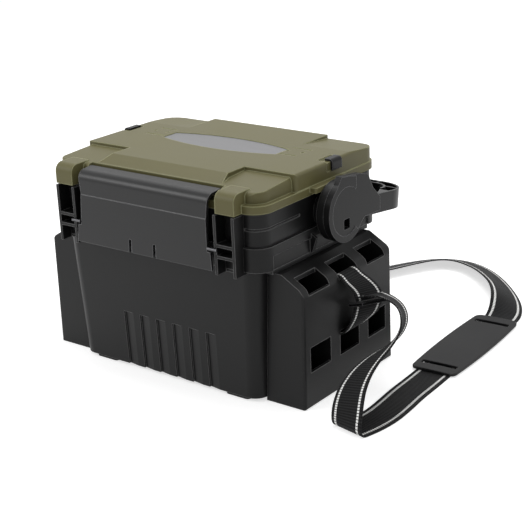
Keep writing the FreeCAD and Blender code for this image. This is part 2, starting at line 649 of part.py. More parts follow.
def lid_solid():
    flange = straight(FLANGE_HALF, BAND_FRONT, BAND_REAR, BAND_CORNER, FLANGE_Z0, FLANGE_Z1)
    pad_half = FLANGE_HALF - PAD_INSET_END
    front = -BAND_FRONT + PAD_INSET_FRONT
    rear = BAND_REAR - PAD_INSET_REAR
    side = [(front, FLANGE_Z1 - 1), (front, PAD_FRONT_Z, PAD_EDGE_R), (DECK_SHOULDER_Y, PAD_BACK_Z),
            (rear, PAD_BACK_Z, PAD_EDGE_R), (rear, FLANGE_Z1 - 1)]
    pad = prism_x(side, -pad_half - 1, pad_half + 1)
    across = [(-pad_half, FLANGE_Z1 - 1), (pad_half, FLANGE_Z1 - 1), (pad_half, DECK_Z, PAD_EDGE_R + 5),
              (-pad_half, DECK_Z, PAD_EDGE_R + 5)]
    pad = pad.common(prism_y(across, front - 1, rear + 1))
    pad = pad.common(straight(pad_half, -front, rear, PAD_CORNER, FLANGE_Z1 - 1, DECK_Z))
    slope = [(SLOPE_FRONT_Y, FLANGE_Z1 - 1), (SLOPE_FRONT_Y, SLOPE_FRONT_Z), (DECK_FRONT_Y, DECK_Z, 3.0),
             (rear, DECK_Z, 4.0), (rear, FLANGE_Z1 - 1)]
    middle = prism_x(slope, -SLOPE_HALF_LOW, SLOPE_HALF_LOW)
    fan = [(-SLOPE_HALF_LOW, SLOPE_FRONT_Y - 1), (SLOPE_HALF_LOW, SLOPE_FRONT_Y - 1),
           (SLOPE_HALF_TOP, DECK_FRONT_Y, 6.0), (SLOPE_HALF_TOP, rear), (-SLOPE_HALF_TOP, rear),
           (-SLOPE_HALF_TOP, DECK_FRONT_Y, 6.0)]
    middle = middle.common(prism_z(fan, FLANGE_Z1 - 1, DECK_Z + 1))
    deck_half = FLANGE_HALF - DECK_END_INSET
    wings = [(-deck_half, DECK_SHOULDER_Y, 5.0), (deck_half, DECK_SHOULDER_Y, 5.0),
             (deck_half, rear, 22.0), (-deck_half, rear, 22.0)]
    wing = prism_z(wings, FLANGE_Z1 - 1, DECK_Z)
    edge = [(-deck_half, FLANGE_Z1 - 1), (deck_half, FLANGE_Z1 - 1), (deck_half, DECK_Z, 4.0),
            (-deck_half, DECK_Z, 4.0)]
    wing = wing.common(prism_y(edge, DECK_SHOULDER_Y - 1, rear + 1))
    fall = [(REAR_RECESS_Y, DECK_Z), (REAR_RECESS_Y, DECK_Z + CLEAR), (rear + 5, DECK_Z + CLEAR),
            (rear + 5, DECK_Z - REAR_RECESS_DROP)]
    recess = prism_x(fall, REAR_RECESS_X, deck_half + CLEAR)
    middle = middle.fuse([wing]).cut(both_ends(recess))
    pillar = prism_x([(front + 6, FLANGE_Z0), (PILLAR_FRONT, FLANGE_Z0), (PILLAR_FRONT, PILLAR_TOP_Z, PILLAR_R),
                      (front + 12, PILLAR_TOP_Z)], PILLAR_X0, PILLAR_X1)
    end = BOSS_NECK_X - EAR_GAP
    ear = prism_z([(FLANGE_HALF - 1, EAR_Y[0]), (end, EAR_Y[0], 3.0), (end, EAR_Y[1], 3.0), (FLANGE_HALF - 1, EAR_Y[1])],
                  FLANGE_Z1 - EAR_TALL, FLANGE_Z1)
    return flange.fuse([pad, middle] + both_ends(pillar) + both_ends(ear))


def lid_hollow():
    half = FLANGE_HALF - PAD_INSET_END - LID_WALL
    front = BAND_FRONT - PAD_INSET_FRONT - LID_WALL
    rear = BAND_REAR - PAD_INSET_REAR - LID_WALL
    low = straight(half, front, rear, PAD_CORNER - LID_WALL, FLANGE_Z0 - CLEAR, PAD_FRONT_Z - LID_WALL - 0.5)
    notch = box(-SLOPE_HALF_LOW - 8, SLOPE_HALF_LOW + 8, -BAND_FRONT - 1, SLOPE_FRONT_Y + LID_WALL,
                FLANGE_Z1 - LID_WALL, DECK_Z)
    low = low.cut(notch)
    high = prism_x([(DECK_FRONT_Y, FLANGE_Z1), (DECK_FRONT_Y, DECK_Z - LID_WALL - 1.0),
                    (rear, DECK_Z - LID_WALL - 1.0), (rear, FLANGE_Z1)],
                   -REAR_RECESS_X + LID_WALL, REAR_RECESS_X - LID_WALL)
    return [low, high]


def lid_skirt():
    outer = NECK_WALL + LID_SKIRT_GAP
    inner = outer + LID_SKIRT_WALL
    top = FLANGE_Z0 + LID_WALL
    ring = straight(NECK_HALF - outer, NECK_FRONT - outer, NECK_REAR - outer, NECK_CORNER - outer,
                    FLANGE_Z0 - LID_SKIRT_DEPTH, top)
    hole = straight(NECK_HALF - inner, NECK_FRONT - inner, NECK_REAR - inner, NECK_CORNER - inner,
                    FLANGE_Z0 - LID_SKIRT_DEPTH - 1, top + 1)
    return ring.cut(hole)


def latch_room():
    """Space in the lid's front for the latch and its barrel, between the pillars."""
    half = LATCH_HALF_TOP + 3.0
    return box(-half, half, -BAND_FRONT - CLEAR, SLOPE_FRONT_Y, FLANGE_Z1, DECK_Z + CLEAR)


def latch_lug(x):
    low = FLANGE_Z1 - 1
    web = prism_x([(LATCH_AXIS_Y - 2 * LUG_R, low), (LATCH_AXIS_Y - LUG_R, LATCH_AXIS_Z),
                   (LATCH_AXIS_Y + LUG_R, LATCH_AXIS_Z), (LATCH_AXIS_Y + LUG_R, low)],
                  x - LUG_HALF, x + LUG_HALF)
    eye = cylinder_x(x - LUG_HALF, x + LUG_HALF, LATCH_AXIS_Y, LATCH_AXIS_Z, LUG_R)
    return web.fuse(eye)


def label_outline(grow):
    half = LABEL_HALF + grow
    end = LABEL_HALF_END + grow
    wide = LABEL_HALF_WIDE + grow
    mid = LABEL_MID_Y

    def edges(z):
        near = Part.Arc(V(-half, mid - end, z), V(0, mid - wide, z), V(half, mid - end, z)).toShape()
        right = Part.LineSegment(V(half, mid - end, z), V(half, mid + end, z)).toShape()
        far = Part.Arc(V(half, mid + end, z), V(0, mid + wide, z), V(-half, mid + end, z)).toShape()
        left = Part.LineSegment(V(-half, mid + end, z), V(-half, mid - end, z)).toShape()
        return Part.Wire([near, right, far, left])
    return edges


def deck_marks():
    """Slots and small holes beside the label plate."""
    z0 = DECK_Z - MARK_DEPTH
    z1 = DECK_Z + CLEAR
    cuts = []
    for x0, x1, y in DECK_SLOTS:
        cuts.append(box(x0, x1, y - SLOT_WIDTH / 2, y + SLOT_WIDTH / 2, z0, z1))
    for x, y in DECK_HOLES:
        cuts.append(box(x - HOLE_WIDE / 2, x + HOLE_WIDE / 2, y - HOLE_LONG / 2, y + HOLE_LONG / 2, z0, z1))
    return cuts


def clip_notch():
    half = CLIP_WIDE / 2 + CLIP_GAP
    near = CLIP_Y - half - CLIP_NOTCH_FRONT
    top = box(CLIP_NOTCH_X, FLANGE_HALF + CLEAR, near, CLIP_Y + half,
              CLIP_TOP_Z - CLIP_THICK - CLIP_GAP, DECK_Z + CLEAR)
    side = box(CLIP_X1 - CLIP_THICK - CLIP_GAP, FLANGE_HALF + CLEAR, near, CLIP_Y + half,
               CLIP_LOW_Z - CLIP_GAP, DECK_Z + CLEAR)
    return [top, side]


def end_clip():
    half = CLIP_WIDE / 2
    shape = [(CLIP_X0, CLIP_TOP_Z - CLIP_THICK), (CLIP_X0, CLIP_TOP_Z), (CLIP_X1, CLIP_TOP_Z, 5.0),
             (CLIP_X1, CLIP_LOW_Z), (CLIP_X1 - CLIP_THICK, CLIP_LOW_Z),
             (CLIP_X1 - CLIP_THICK, CLIP_TOP_Z - CLIP_THICK)]
    return prism_y(shape, CLIP_Y - half, CLIP_Y + half)


def lid():
    body = lid_solid().cut(lid_hollow() + [latch_room()])
    floor = straight(FLANGE_HALF - 1, BAND_FRONT - 1, BAND_REAR - 1, BAND_CORNER - 1, FLANGE_Z1 - LID_WALL, FLANGE_Z1)
    half = LATCH_HALF_TOP + 3.0
    shelf = floor.common(box(-half, half, -BAND_FRONT, SLOPE_FRONT_Y + LID_WALL, 0, DECK_Z))
    wall = box(-half, half, SLOPE_FRONT_Y, SLOPE_FRONT_Y + LID_WALL, FLANGE_Z1 - LID_WALL, SLOPE_FRONT_Z - 1)
    add = [lid_skirt(), shelf, wall] + [latch_lug(x) for x in LUG_X]
    for x0, x1 in hinge_knuckles(True):
        knuckle = cylinder_x(x0, x1, HINGE_Y, HINGE_Z, HINGE_R)
        web = prism_x([(HINGE_Y - HINGE_R, HINGE_Z), (HINGE_Y + HINGE_R, HINGE_Z), (BAND_REAR, FLANGE_Z1 - 1),
                       (HINGE_Y - HINGE_R, FLANGE_Z1 - 1)], x0, x1)
        add += both_ends(knuckle) + both_ends(web)
    body = body.fuse(add)
    cuts = []
    for x0, x1 in hinge_knuckles(False):
        room = cylinder_x(x0 - HINGE_SIDE_GAP, x1 + HINGE_SIDE_GAP, HINGE_Y, HINGE_Z, HINGE_R + 0.7)
        cuts += both_ends(room)
    for x0, x1 in hinge_knuckles(True):
        hole = cylinder_x(x0 - 1, x1 + 1, HINGE_Y, HINGE_Z, HINGE_PIN_R + RUNNING)
        cuts += both_ends(hole)
    cuts.append(cylinder_x(-LATCH_HALF_TOP, LATCH_HALF_TOP, LATCH_AXIS_Y, LATCH_AXIS_Z, LATCH_PIN_R + RUNNING))
    label = Part.Face(label_outline(0.2)(DECK_Z - LABEL_DEPTH)).extrude(V(0, 0, CLEAR))
    cuts.append(label)
    cuts += deck_marks()
    for cutter in clip_notch():
        cuts += both_ends(cutter)
    return body.cut(cuts).removeSplitter()


def lid_seal():
    outer = 0.2
    z0 = RIM_Z + 0.1
    z1 = FLANGE_Z0 - 0.05
    ring = straight(NECK_HALF - outer, NECK_FRONT - outer, NECK_REAR - outer, NECK_CORNER - outer, z0, z1)
    inner = NECK_WALL
    hole = straight(NECK_HALF - inner, NECK_FRONT - inner, NECK_REAR - inner, NECK_CORNER - inner, z0 - 1, z1 + 1)
    return ring.cut(hole)


def label_plate():
    return Part.Face(label_outline(0)(DECK_Z - LABEL_DEPTH)).extrude(V(0, 0, LABEL_THICK))


# Front latch

def front_latch():
    t = LATCH_THICK
    top = LATCH_TOP_Z
    section = [(LATCH_AXIS_Y, top), (LATCH_BEND_Y + 0.2, top - 2.2, LATCH_BEND_R), (LATCH_BEND_Y, LATCH_BEND_Z),
               (LATCH_CREASE_Y + CREASE_STEP, LATCH_CREASE_Z + CREASE_STEP), (LATCH_CREASE_Y, LATCH_CREASE_Z), (LATCH_LOW_Y, LATCH_BOTTOM_Z, 1.2),
               (LATCH_LOW_Y + t, LATCH_BOTTOM_Z), (LATCH_CREASE_Y + t, LATCH_CREASE_Z),
               (LATCH_BEND_Y + t, LATCH_BEND_Z), (LATCH_BEND_Y + t, top - t - 2.0, LATCH_BEND_R - t),
               (LATCH_AXIS_Y, top - t)]
    body = prism_x(section, -LATCH_HALF_LOW - 1, LATCH_HALF_LOW + 1)
    barrel = cylinder_x(-LATCH_HALF_TOP, LATCH_HALF_TOP, LATCH_AXIS_Y, LATCH_AXIS_Z, LATCH_BARREL_R)
    rib_section = [(LATCH_BEND_Y + 1, LATCH_BEND_Z + 4), (LATCH_BEND_Y + t + LATCH_RIB_DEPTH, LATCH_BEND_Z + 2),
                   (LATCH_LOW_Y + t + LATCH_RIB_DEPTH, LATCH_BOTTOM_Z + 6), (LATCH_LOW_Y + 1, LATCH_BOTTOM_Z + 6)]
    ribs = [prism_x(rib_section, LATCH_HALF_CREASE - 3 - LATCH_RIB_WALL, LATCH_HALF_CREASE - 3)]
    hook = prism_x([(LATCH_LOW_Y + 1, LATCH_BOTTOM_Z + 1), (HOOK_REAR, HOOK_TOP - 3.0), (HOOK_REAR, HOOK_TOP),
                    (LATCH_LOW_Y + 1, HOOK_TOP)], -HOOK_HALF, HOOK_HALF)
    body = body.fuse([barrel, hook] + both_ends(ribs[0]))
    front = [(-LATCH_HALF_LOW, LATCH_BOTTOM_Z), (LATCH_HALF_LOW, LATCH_BOTTOM_Z), (LATCH_HALF_WIDE, LATCH_SHOULDER_Z),
             (LATCH_HALF_NUB, LATCH_SHOULDER_Z), (LATCH_HALF_CREASE, LATCH_CREASE_Z),
             (LATCH_HALF_TOP, top - 3), (LATCH_HALF_TOP, top + 4),
             (-LATCH_HALF_TOP, top + 4), (-LATCH_HALF_TOP, top - 3),
             (-LATCH_HALF_CREASE, LATCH_CREASE_Z), (-LATCH_HALF_NUB, LATCH_SHOULDER_Z),
             (-LATCH_HALF_WIDE, LATCH_SHOULDER_Z)]
    body = body.common(prism_y(front, LATCH_LOW_Y - CLEAR, LATCH_AXIS_Y + CLEAR))
    cuts = []
    half = LATCH_SLOT_WIDE / 2
    slot = prism_y([(LATCH_SLOT_X - half, LATCH_BOTTOM_Z - 1), (LATCH_SLOT_X + half, LATCH_BOTTOM_Z - 1),
                    (LATCH_SLOT_X + half, LATCH_SLOT_TOP, 2.0), (LATCH_SLOT_X - half, LATCH_SLOT_TOP, 2.0)],
                   LATCH_LOW_Y - 5, LATCH_LOW_Y + 20)
    cuts += both_ends(slot)
    for x in LUG_X:
        gap = LUG_HALF + 0.5
        room = box(x - gap, x + gap, LATCH_AXIS_Y - 11, LATCH_AXIS_Y + CLEAR, LATCH_AXIS_Z - CLEAR, LATCH_TOP_Z - 1.4)
        cuts.append(room)
    cuts.append(cylinder_x(-LATCH_HALF_TOP - 1, LATCH_HALF_TOP + 1, LATCH_AXIS_Y, LATCH_AXIS_Z,
                           LATCH_PIN_R + RUNNING))
    return body.cut(cuts).removeSplitter()


# Handle

def handle_boss():
    neck = cylinder_x(NECK_HALF + 0.1, BOSS_NECK_X, PIVOT_Y, PIVOT_Z, BOSS_NECK_R)
    disc = cylinder_x(BOSS_NECK_X, BOSS_FACE_X, PIVOT_Y, PIVOT_Z, BOSS_R)
    body = neck.fuse(disc)
    band = box(NECK_HALF - 5, BAND_HALF + 0.1, PIVOT_Y - CLEAR, PIVOT_Y + CLEAR, BAND_Z0, BAND_Z1 + 0.1)
    body = body.cut(band)
    return body.cut(cylinder_x(NECK_HALF - 5, BOSS_FACE_X + 5, PIVOT_Y, PIVOT_Z, AXLE_R + RUNNING)).removeSplitter()


def handle_axle():
    inner = NECK_HALF - NECK_WALL
    head = cylinder_x(inner - AXLE_HEAD, inner, PIVOT_Y, PIVOT_Z, AXLE_HEAD_R)
    shank = cylinder_x(inner, AXLE_END_X, PIVOT_Y, PIVOT_Z, AXLE_R)
    return head.fuse(shank).removeSplitter()


def turned(shape):
    """Folds a handle shape that was drawn with level arms to its rest slope."""
    shape.rotate(V(0, PIVOT_Y, PIVOT_Z), V(1, 0, 0), HANDLE_SLOPE)
    return shape


def from_pivot(points):
    return [(PIVOT_Y + y, PIVOT_Z + z, r) for y, z, r in points]


def handle_plate():
    x0 = BOSS_FACE_X + HANDLE_GAP
    disc = cylinder_x(x0, PLATE_X1, PIVOT_Y, PIVOT_Z, PLATE_R)
    lobe = prism_x(from_pivot(HUB_LOBE), x0, PLATE_X1)
    ring = cylinder_x(PLATE_X1, RING_X1, PIVOT_Y, PIVOT_Z, PLATE_R)
    tab = prism_x(from_pivot(HUB_TAB), PLATE_X1, RING_X1)
    middle = cylinder_x(PLATE_X1 - 1, RING_X1 + 1, PIVOT_Y, PIVOT_Z, RING_R)
    ring = ring.fuse(tab).cut([middle, prism_x(from_pivot(HUB_RING_GAP), PLATE_X1 - 1, RING_X1 + 1)])
    return disc.fuse([lobe, ring])


def handle_channel():
    """The arms and the grip in one piece, drawn level, with a channel along the top and the bottom."""
    out = PIVOT_Y + GRIP_OUT
    inn = PIVOT_Y + GRIP_IN
    wide = PIVOT_Y + ARM_WIDEN
    start = PIVOT_Y + PLATE_R - 2
    thin = BOSS_FACE_X + HANDLE_GAP
    outer = [(-ARM_OUT_X, start), (ARM_OUT_X, start), (ARM_OUT_X, out, ARM_BEND_R), (-ARM_OUT_X, out, ARM_BEND_R)]
    inner = [(-thin, start - 1), (thin, start - 1), (thin, wide - 30, 12.0), (ARM_IN_X, wide, 10.0),
             (ARM_IN_X, inn, ARM_BEND_IN_R), (-ARM_IN_X, inn, ARM_BEND_IN_R), (-ARM_IN_X, wide, 10.0),
             (-thin, wide - 30, 12.0)]
    z0 = PIVOT_Z - ARM_HALF_HEIGHT
    z1 = PIVOT_Z + ARM_HALF_HEIGHT
    body = prism_z(outer, z0, z1).cut(prism_z(inner, z0 - 1, z1 + 1))
    w = CHANNEL_WALL
    room_out = [(-ARM_OUT_X + w, wide - 12), (ARM_OUT_X - w, wide - 12), (ARM_OUT_X - w, out - w, ARM_BEND_R - w),
                (-ARM_OUT_X + w, out - w, ARM_BEND_R - w)]
    room_in = [(-ARM_IN_X - w, wide - 13), (ARM_IN_X + w, wide - 13), (ARM_IN_X + w, inn + w, ARM_BEND_IN_R + w),
               (-ARM_IN_X - w, inn + w, ARM_BEND_IN_R + w)]
    rib = CHANNEL_WALL / 2
    cuts = []
    for low, high in ((z1 - CHANNEL_DEEP, z1 + 1), (z0 - 1, z0 + CHANNEL_DEEP)):
        ring = prism_z(room_out, low, high).cut(prism_z(room_in, low - 1, high + 1))
        ribs = []
        for x in [share * BAND_HALF for share in GRIP_RIBS]:
            ribs += both_ends(box(x - rib, x + rib, inn - 5, out + 5, low - 1, high + 1))
        arm_y = PIVOT_Y + ARM_RIB
        ribs += both_ends(box(ARM_IN_X - 5, ARM_OUT_X + 5, arm_y - rib, arm_y + rib, low - 1, high + 1))
        cuts.append(ring.cut(ribs))
    return body.cut(cuts)


def handle_bail():
    body = turned(handle_channel())
    body = body.fuse(both_ends(handle_plate()))
    hole = box(BOSS_FACE_X - 5, RING_X1 + 5, SQUARE_HOLE_Y - SQUARE_HOLE / 2, SQUARE_HOLE_Y + SQUARE_HOLE / 2,
               SQUARE_HOLE_Z - SQUARE_HOLE / 2, SQUARE_HOLE_Z + SQUARE_HOLE / 2)
    bore = cylinder_x(BOSS_FACE_X, AXLE_END_X + 0.3, PIVOT_Y, PIVOT_Z, AXLE_R + RUNNING)
    reach = BOSS_FACE_X + HANDLE_GAP
    tall = 2 * PLATE_R
    inside = box(-reach, reach, PIVOT_Y - 1.5 * PLATE_R, PIVOT_Y + PLATE_R + ARM_ROOM, PIVOT_Z - tall, PIVOT_Z + tall)
    return body.cut(both_ends(hole) + both_ends(bore) + [inside]).removeSplitter()


# Shoulder strap. Each row of a route is a point of the webbing's middle and the way its width lies.
FREE_RUN = (
    (243, 19, 124.2, 0.18, 0.97, -0.13),
    (264, 16, 127.4, 0.16, 0.93, -0.34),
    (285, 12, 123, 0.08, 0.85, -0.52),
    (300, 4, 114, -0.12, 0.71, -0.69),
    (306, -9, 102, -0.36, 0.58, -0.73),
    (306, -25, 91, -0.60, 0.50, -0.62),
    (300, -43, 82, -0.75, 0.46, -0.47),
    (294, -63, 73, -0.83, 0.41, -0.37),
    (290, -82, 62, -0.90, 0.33, -0.29),
    (289, -99, 48, -0.95, 0.20, -0.25),
    (291, -111, 34, -0.97, 0.10, -0.24),
    (294.5, -120.7, 20, -0.98, 0.14, -0.12),
    (297, -126, 10.9, -0.98, 0.20, -0.03),
    (297.9, -124.7, 5.1, -0.98, 0.20, 0.0),
    (299, -120.1, 1.2, -0.98, 0.20, 0.0),
    (302, -109, 1.2, -0.97, 0.22, 0.0),
    (306.5, -91, 1.2, -0.98, 0.18, 0.0),
    (309.5, -63, 1.2, -1.0, 0.03, 0.0),
    (307, -28, 1.2, -0.99, -0.10, 0.0),
    (303, 8, 1.2, -1.0, -0.08, 0.0),
    (301.5, 46, 1.2, -1.0, -0.05, 0.0),
    (299, 84, 1.2, -1.0, -0.06, 0.0),
    (296, 124, 1.2, -1.0, -0.05, 0.0),
    (294.5, 166, 1.2, -1.0, -0.04, 0.0),
    (292, 208, 1.2, -1.0, -0.05, 0.0),
    (291, 244, 1.2, -1.0, -0.03, 0.0),
    (289.9, 270, 1.2, -1.0, -0.04, 0.0),
    (288.8, 292, 1.2, -1.0, -0.05, 0.0),
    (287, 308, 3.2, -0.98, -0.16, 0.07),
    (283, 324, 7.6, -0.92, -0.30, 0.21),
    (270, 351, 13.2, -0.77, -0.46, 0.43),
    (248, 382, 14, -0.69, -0.52, 0.50),
    (220, 412, 13, -0.65, -0.60, 0.46),
    (190, 440, 11.3, -0.56, -0.72, 0.41),
    (158, 461, 10.2, -0.36, -0.87, 0.34),
    (125, 472, 9.5, 0.02, -0.95, 0.31),
    (94, 464, 9.4, 0.48, -0.83, 0.31),
    (71, 440, 9.2, 0.76, -0.57, 0.31),
    (53, 409, 8.8, 0.83, -0.47, 0.29),
    (36, 376, 8.4, 0.83, -0.49, 0.27),
    (15, 344, 7.8, 0.76, -0.60, 0.25),
    (-13, 315, 7.2, 0.64, -0.73, 0.22),
    (-49, 290, 6.8, 0.53, -0.82, 0.21),
    (-90, 266, 6.6, 0.48, -0.85, 0.20),
    (-132, 244, 6.8, 0.50, -0.84, 0.20),
    (-174, 218, 7.4, 0.62, -0.76, 0.20),
    (-212, 188, 8.6, 0.74, -0.64, 0.18),
    (-243, 160, 12, 0.80, -0.58, 0.10),
    (-268, 135, 21, 0.83, -0.55, -0.05),
    (-284, 113, 35, 0.86, -0.45, -0.20),
    (-291, 96, 50, 0.88, -0.38, -0.28),
    (-294, 80, 64, 0.87, -0.37, -0.33),
    (-299, 60, 77, 0.80, -0.42, -0.42),
    (-304, 40, 88, 0.68, -0.48, -0.54),
    (-307, 21, 99, 0.48, -0.55, -0.68),
    (-303, 5, 110, 0.24, -0.65, -0.72),
    (-286, -11, 122, -0.06, -0.84, -0.54),
    (-264, -16, 127.4, -0.16, -0.93, -0.34),
    (-243, -19, 124.2, -0.18, -0.97, -0.13),
)
LOOP = (
    (240.6, 18.5, 117.7, 0.22, 0.97, -0.13, WEB_WIDE),
    (238, 19.5, 125, 0.20, 0.97, -0.13, WEB_WIDE),
    (234.5, 15.5, 134, 0.16, 0.98, -0.10, WEB_WIDE),
    (230, 8.5, 143, 0.08, 0.99, -0.04, 48.0),
    (226.5, 1.5, 150.5, 0.0, 1.0, 0.0, 45.0),
    (221.3, 0, 157, 0.0, 1.0, 0.0, WEB_SQUEEZED),
    (213, 0, 158.6, 0.0, 1.0, 0.0, WEB_SQUEEZED),
    (206, 0, 151.5, 0.0, 1.0, 0.0, WEB_SQUEEZED),
    (202.5, 0, 139, 0.0, 1.0, 0.0, WEB_SQUEEZED),
    (201, 0, 119, 0.0, 1.0, 0.0, WEB_SQUEEZED),
    (202, 0, 97, 0.0, 1.0, 0.0, WEB_SQUEEZED),
    (206, 0, 81, 0.0, 1.0, 0.0, WEB_SQUEEZED),
    (216, 0, 75, 0.0, 1.0, 0.0, WEB_SQUEEZED),
    (225, 0.3, 79.5, 0.0, 1.0, 0.0, WEB_SQUEEZED),
    (231.5, 6, 87.5, 0.08, 0.99, -0.02, 46.0),
    (236.3, 15.3, 98, 0.17, 0.98, -0.10, WEB_WIDE),
    (238.2, 17, 109.8, 0.22, 0.97, -0.13, WEB_WIDE),
)


def ribbon(name, rows, width):
    """Webbing along straight runs joined by tangent arcs, with ruled faces from section to section."""
    points = [V(row[0] + math.copysign(STRAP_SHIFT, row[0]), row[1], row[2]) for row in rows]
    sides = [V(*row[3:6]) for row in rows]
    widths = [row[6] if len(row) > 6 else width for row in rows]
    stations = [(points[0], (points[1] - points[0]).normalize(), sides[0], widths[0])]
    radii = []
    length = 0.0
    last = points[0]
    for i in range(1, len(points) - 1):
        back = points[i - 1] - points[i]
        ahead = points[i + 1] - points[i]
        turn = math.pi - back.getAngle(ahead)
        shorter = min(back.Length, ahead.Length)
        radius = 0.45 * shorter / math.tan(turn / 2)
        radii.append(radius)
        back.normalize()
        ahead.normalize()
        run = 0.45 * shorter
        start = points[i] + back * run
        end = points[i] + ahead * run
        length += (start - last).Length + radius * turn
        last = end
        middle = (back + ahead).normalize()
        centre = points[i] + middle * (radius / math.cos(turn / 2))
        nearest = centre - middle * radius
        blend_in = sides[i] * 0.725 + sides[i - 1] * 0.275
        blend_out = sides[i] * 0.725 + sides[i + 1] * 0.275
        wide_in = widths[i] * 0.725 + widths[i - 1] * 0.275
        wide_out = widths[i] * 0.725 + widths[i + 1] * 0.275
        stations.append((start, back * -1, blend_in, wide_in))
        stations.append((nearest, (ahead - back).normalize(), sides[i], widths[i]))
        stations.append((end, ahead, blend_out, wide_out))
    length += (points[-1] - last).Length
    stations.append((points[-1], (points[-1] - points[-2]).normalize(), sides[-1], widths[-1]))
    sections = []
    for point, heading, side, wide in stations:
        across = (side - heading * side.dot(heading)).normalize()
        up = heading.cross(across).normalize()
        a = across * (wide / 2)
        b = up * (WEB_THICK / 2)
        sections.append([point + a + b, point - a + b, point - a - b, point + a - b])
    faces = [Part.Face(Part.makePolygon(ring + [ring[0]])) for ring in (sections[0], sections[-1])]
    for near, far in zip(sections, sections[1:]):
        for i in range(4):
            surface = Part.BSplineSurface()
            poles = [[near[i - 1], near[i]], [far[i - 1], far[i]]]
            surface.buildFromPolesMultsKnots(poles, (2, 2), (2, 2), (0, 1), (0, 1), False, False, 1, 1)
            faces.append(surface.toShape())
    skin = Part.Compound(faces)
    skin.sewShape()
    solid = Part.Solid(skin.Shells[0])
    if solid.Volume < 0:
        solid.reverse()
    mean = sum(widths) / len(widths)
    print("%s: %.0f mm long, radii %.0f to %.0f mm, volume %.0f against %.0f mm3"
          % (name, length, min(radii), max(radii), solid.Volume, length * mean * WEB_THICK))
    return solid


def slider():
    """Flat three bar buckle at the end of the loop, tilted so that its far side is up."""
    w = V(*LOOP[0][3:6]).normalize()
    l = V(*SLIDER_ALONG)
    l = (l - w * l.dot(w)).normalize()
    n = w.cross(l).normalize()
    bar = (SLIDER_LONG - 2 * SLIDER_SLOT) / 3
    body = Part.makeBox(SLIDER_WIDE, SLIDER_LONG, SLIDER_THICK, V(-SLIDER_WIDE / 2, -SLIDER_LONG / 2, 0))
    half = WEB_WIDE / 2 + 1
    first = Part.makeBox(2 * half, SLIDER_SLOT, SLIDER_THICK + 2, V(-half, -SLIDER_LONG / 2 + bar, -1))
    second = Part.makeBox(2 * half, SLIDER_SLOT, SLIDER_THICK + 2, V(-half, bar / 2, -1))
    body = body.cut([first, second])
    matrix = FreeCAD.Matrix(w.x, l.x, n.x, SLIDER_AT[0] + STRAP_SHIFT, w.y, l.y, n.y, SLIDER_AT[1],
                            w.z, l.z, n.z, SLIDER_AT[2], 0, 0, 0, 1)
    return body.transformGeometry(matrix)


def shoulder_pad():
    """Pad lying on the webbing, its long sides a little bulged, with a cross slot near each end."""
    a = V(PAD_FROM[0] + STRAP_SHIFT, PAD_FROM[1], 0)
    b = V(PAD_TO[0] + STRAP_SHIFT, PAD_TO[1], 0)
    along = (b - a).normalize()
    across = V(0, 0, 1).cross(along)
    middle = (a + b) * 0.5
    half = PAD_LONG / 2
    wide = PAD_WIDE / 2

    def at(s, t):
        p = middle + along * s + across * t
        return V(p.x, p.y, PAD_LOW_Z)
    right = Part.Arc(at(-half, wide), at(0, wide + PAD_BULGE), at(half, wide)).toShape()
    left = Part.Arc(at(half, -wide), at(0, -wide - PAD_BULGE), at(-half, -wide)).toShape()
    end = Part.LineSegment(at(half, wide), at(half, -wide)).toShape()
    start = Part.LineSegment(at(-half, -wide), at(-half, wide)).toShape()
    body = Part.Face(Part.Wire([right, end, left, start])).extrude(V(0, 0, PAD_THICK))
    slots = []
    for s in (-half + PAD_SLOT_AT, half - PAD_SLOT_AT):
        reach = WEB_WIDE / 2 + 2
        corners = [at(s - PAD_SLOT_WIDE / 2, -reach), at(s + PAD_SLOT_WIDE / 2, -reach),
                   at(s + PAD_SLOT_WIDE / 2, reach), at(s - PAD_SLOT_WIDE / 2, reach)]
        slots.append(Part.Face(Part.makePolygon(corners + [corners[0]])).extrude(V(0, 0, PAD_THICK)))
    return body.cut(slots)


def hinge_pin():
    reach = HINGE_LENGTH / 2 + 0.6
    return cylinder_x(HINGE_X - reach, HINGE_X + reach, HINGE_Y, HINGE_Z, HINGE_PIN_R)


shell, band, neck, corner = tub()
save("tub", shell)
save("tub_band", band)
save("tub_neck", neck)
save("right_corner_tower", corner)
save("left_corner_tower", mirrored(corner))
block = finished_block()
save("right_rod_block", block)
save("left_rod_block", mirrored(block))
screws = block_screws()
save("right_block_screws", screws)
save("left_block_screws", mirrored(screws))
for foot_name, place in zip(("front_left_foot", "front_right_foot", "rear_left_foot", "rear_right_foot"),
                            foot_places()):
    save(foot_name, foot(*place))
save("right_catch_nub", catch_nub())
save("left_catch_nub", mirrored(catch_nub()))
save("front_catch_rod", cylinder_x(-ROD_HALF, ROD_HALF, ROD_Y, ROD_Z, ROD_R))
save("right_hinge_pin", hinge_pin())
save("left_hinge_pin", mirrored(hinge_pin()))
save("lid", lid())
save("lid_seal", lid_seal())
save("label_plate", label_plate())
save("right_end_clip", end_clip())
save("left_end_clip", mirrored(end_clip()))
save("front_latch", front_latch())
save("front_latch_rod", cylinder_x(-LATCH_HALF_TOP + 2, LATCH_HALF_TOP - 2, LATCH_AXIS_Y, LATCH_AXIS_Z, LATCH_PIN_R))
save("right_handle_boss", handle_boss())
save("left_handle_boss", mirrored(handle_boss()))
save("right_handle_axle", handle_axle())
save("left_handle_axle", mirrored(handle_axle()))
save("handle_bail", handle_bail())
save("strap_webbing", ribbon("strap_webbing", FREE_RUN, WEB_WIDE))
loop = ribbon("strap_loop", LOOP, WEB_WIDE)
save("right_strap_loop", loop)
save("left_strap_loop", half_turned(loop))
save("right_slider", slider())
save("left_slider", half_turned(slider()))
save("shoulder_pad", shoulder_pad())
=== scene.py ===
import math

import bpy
import bmesh
from mathutils import Matrix, Vector


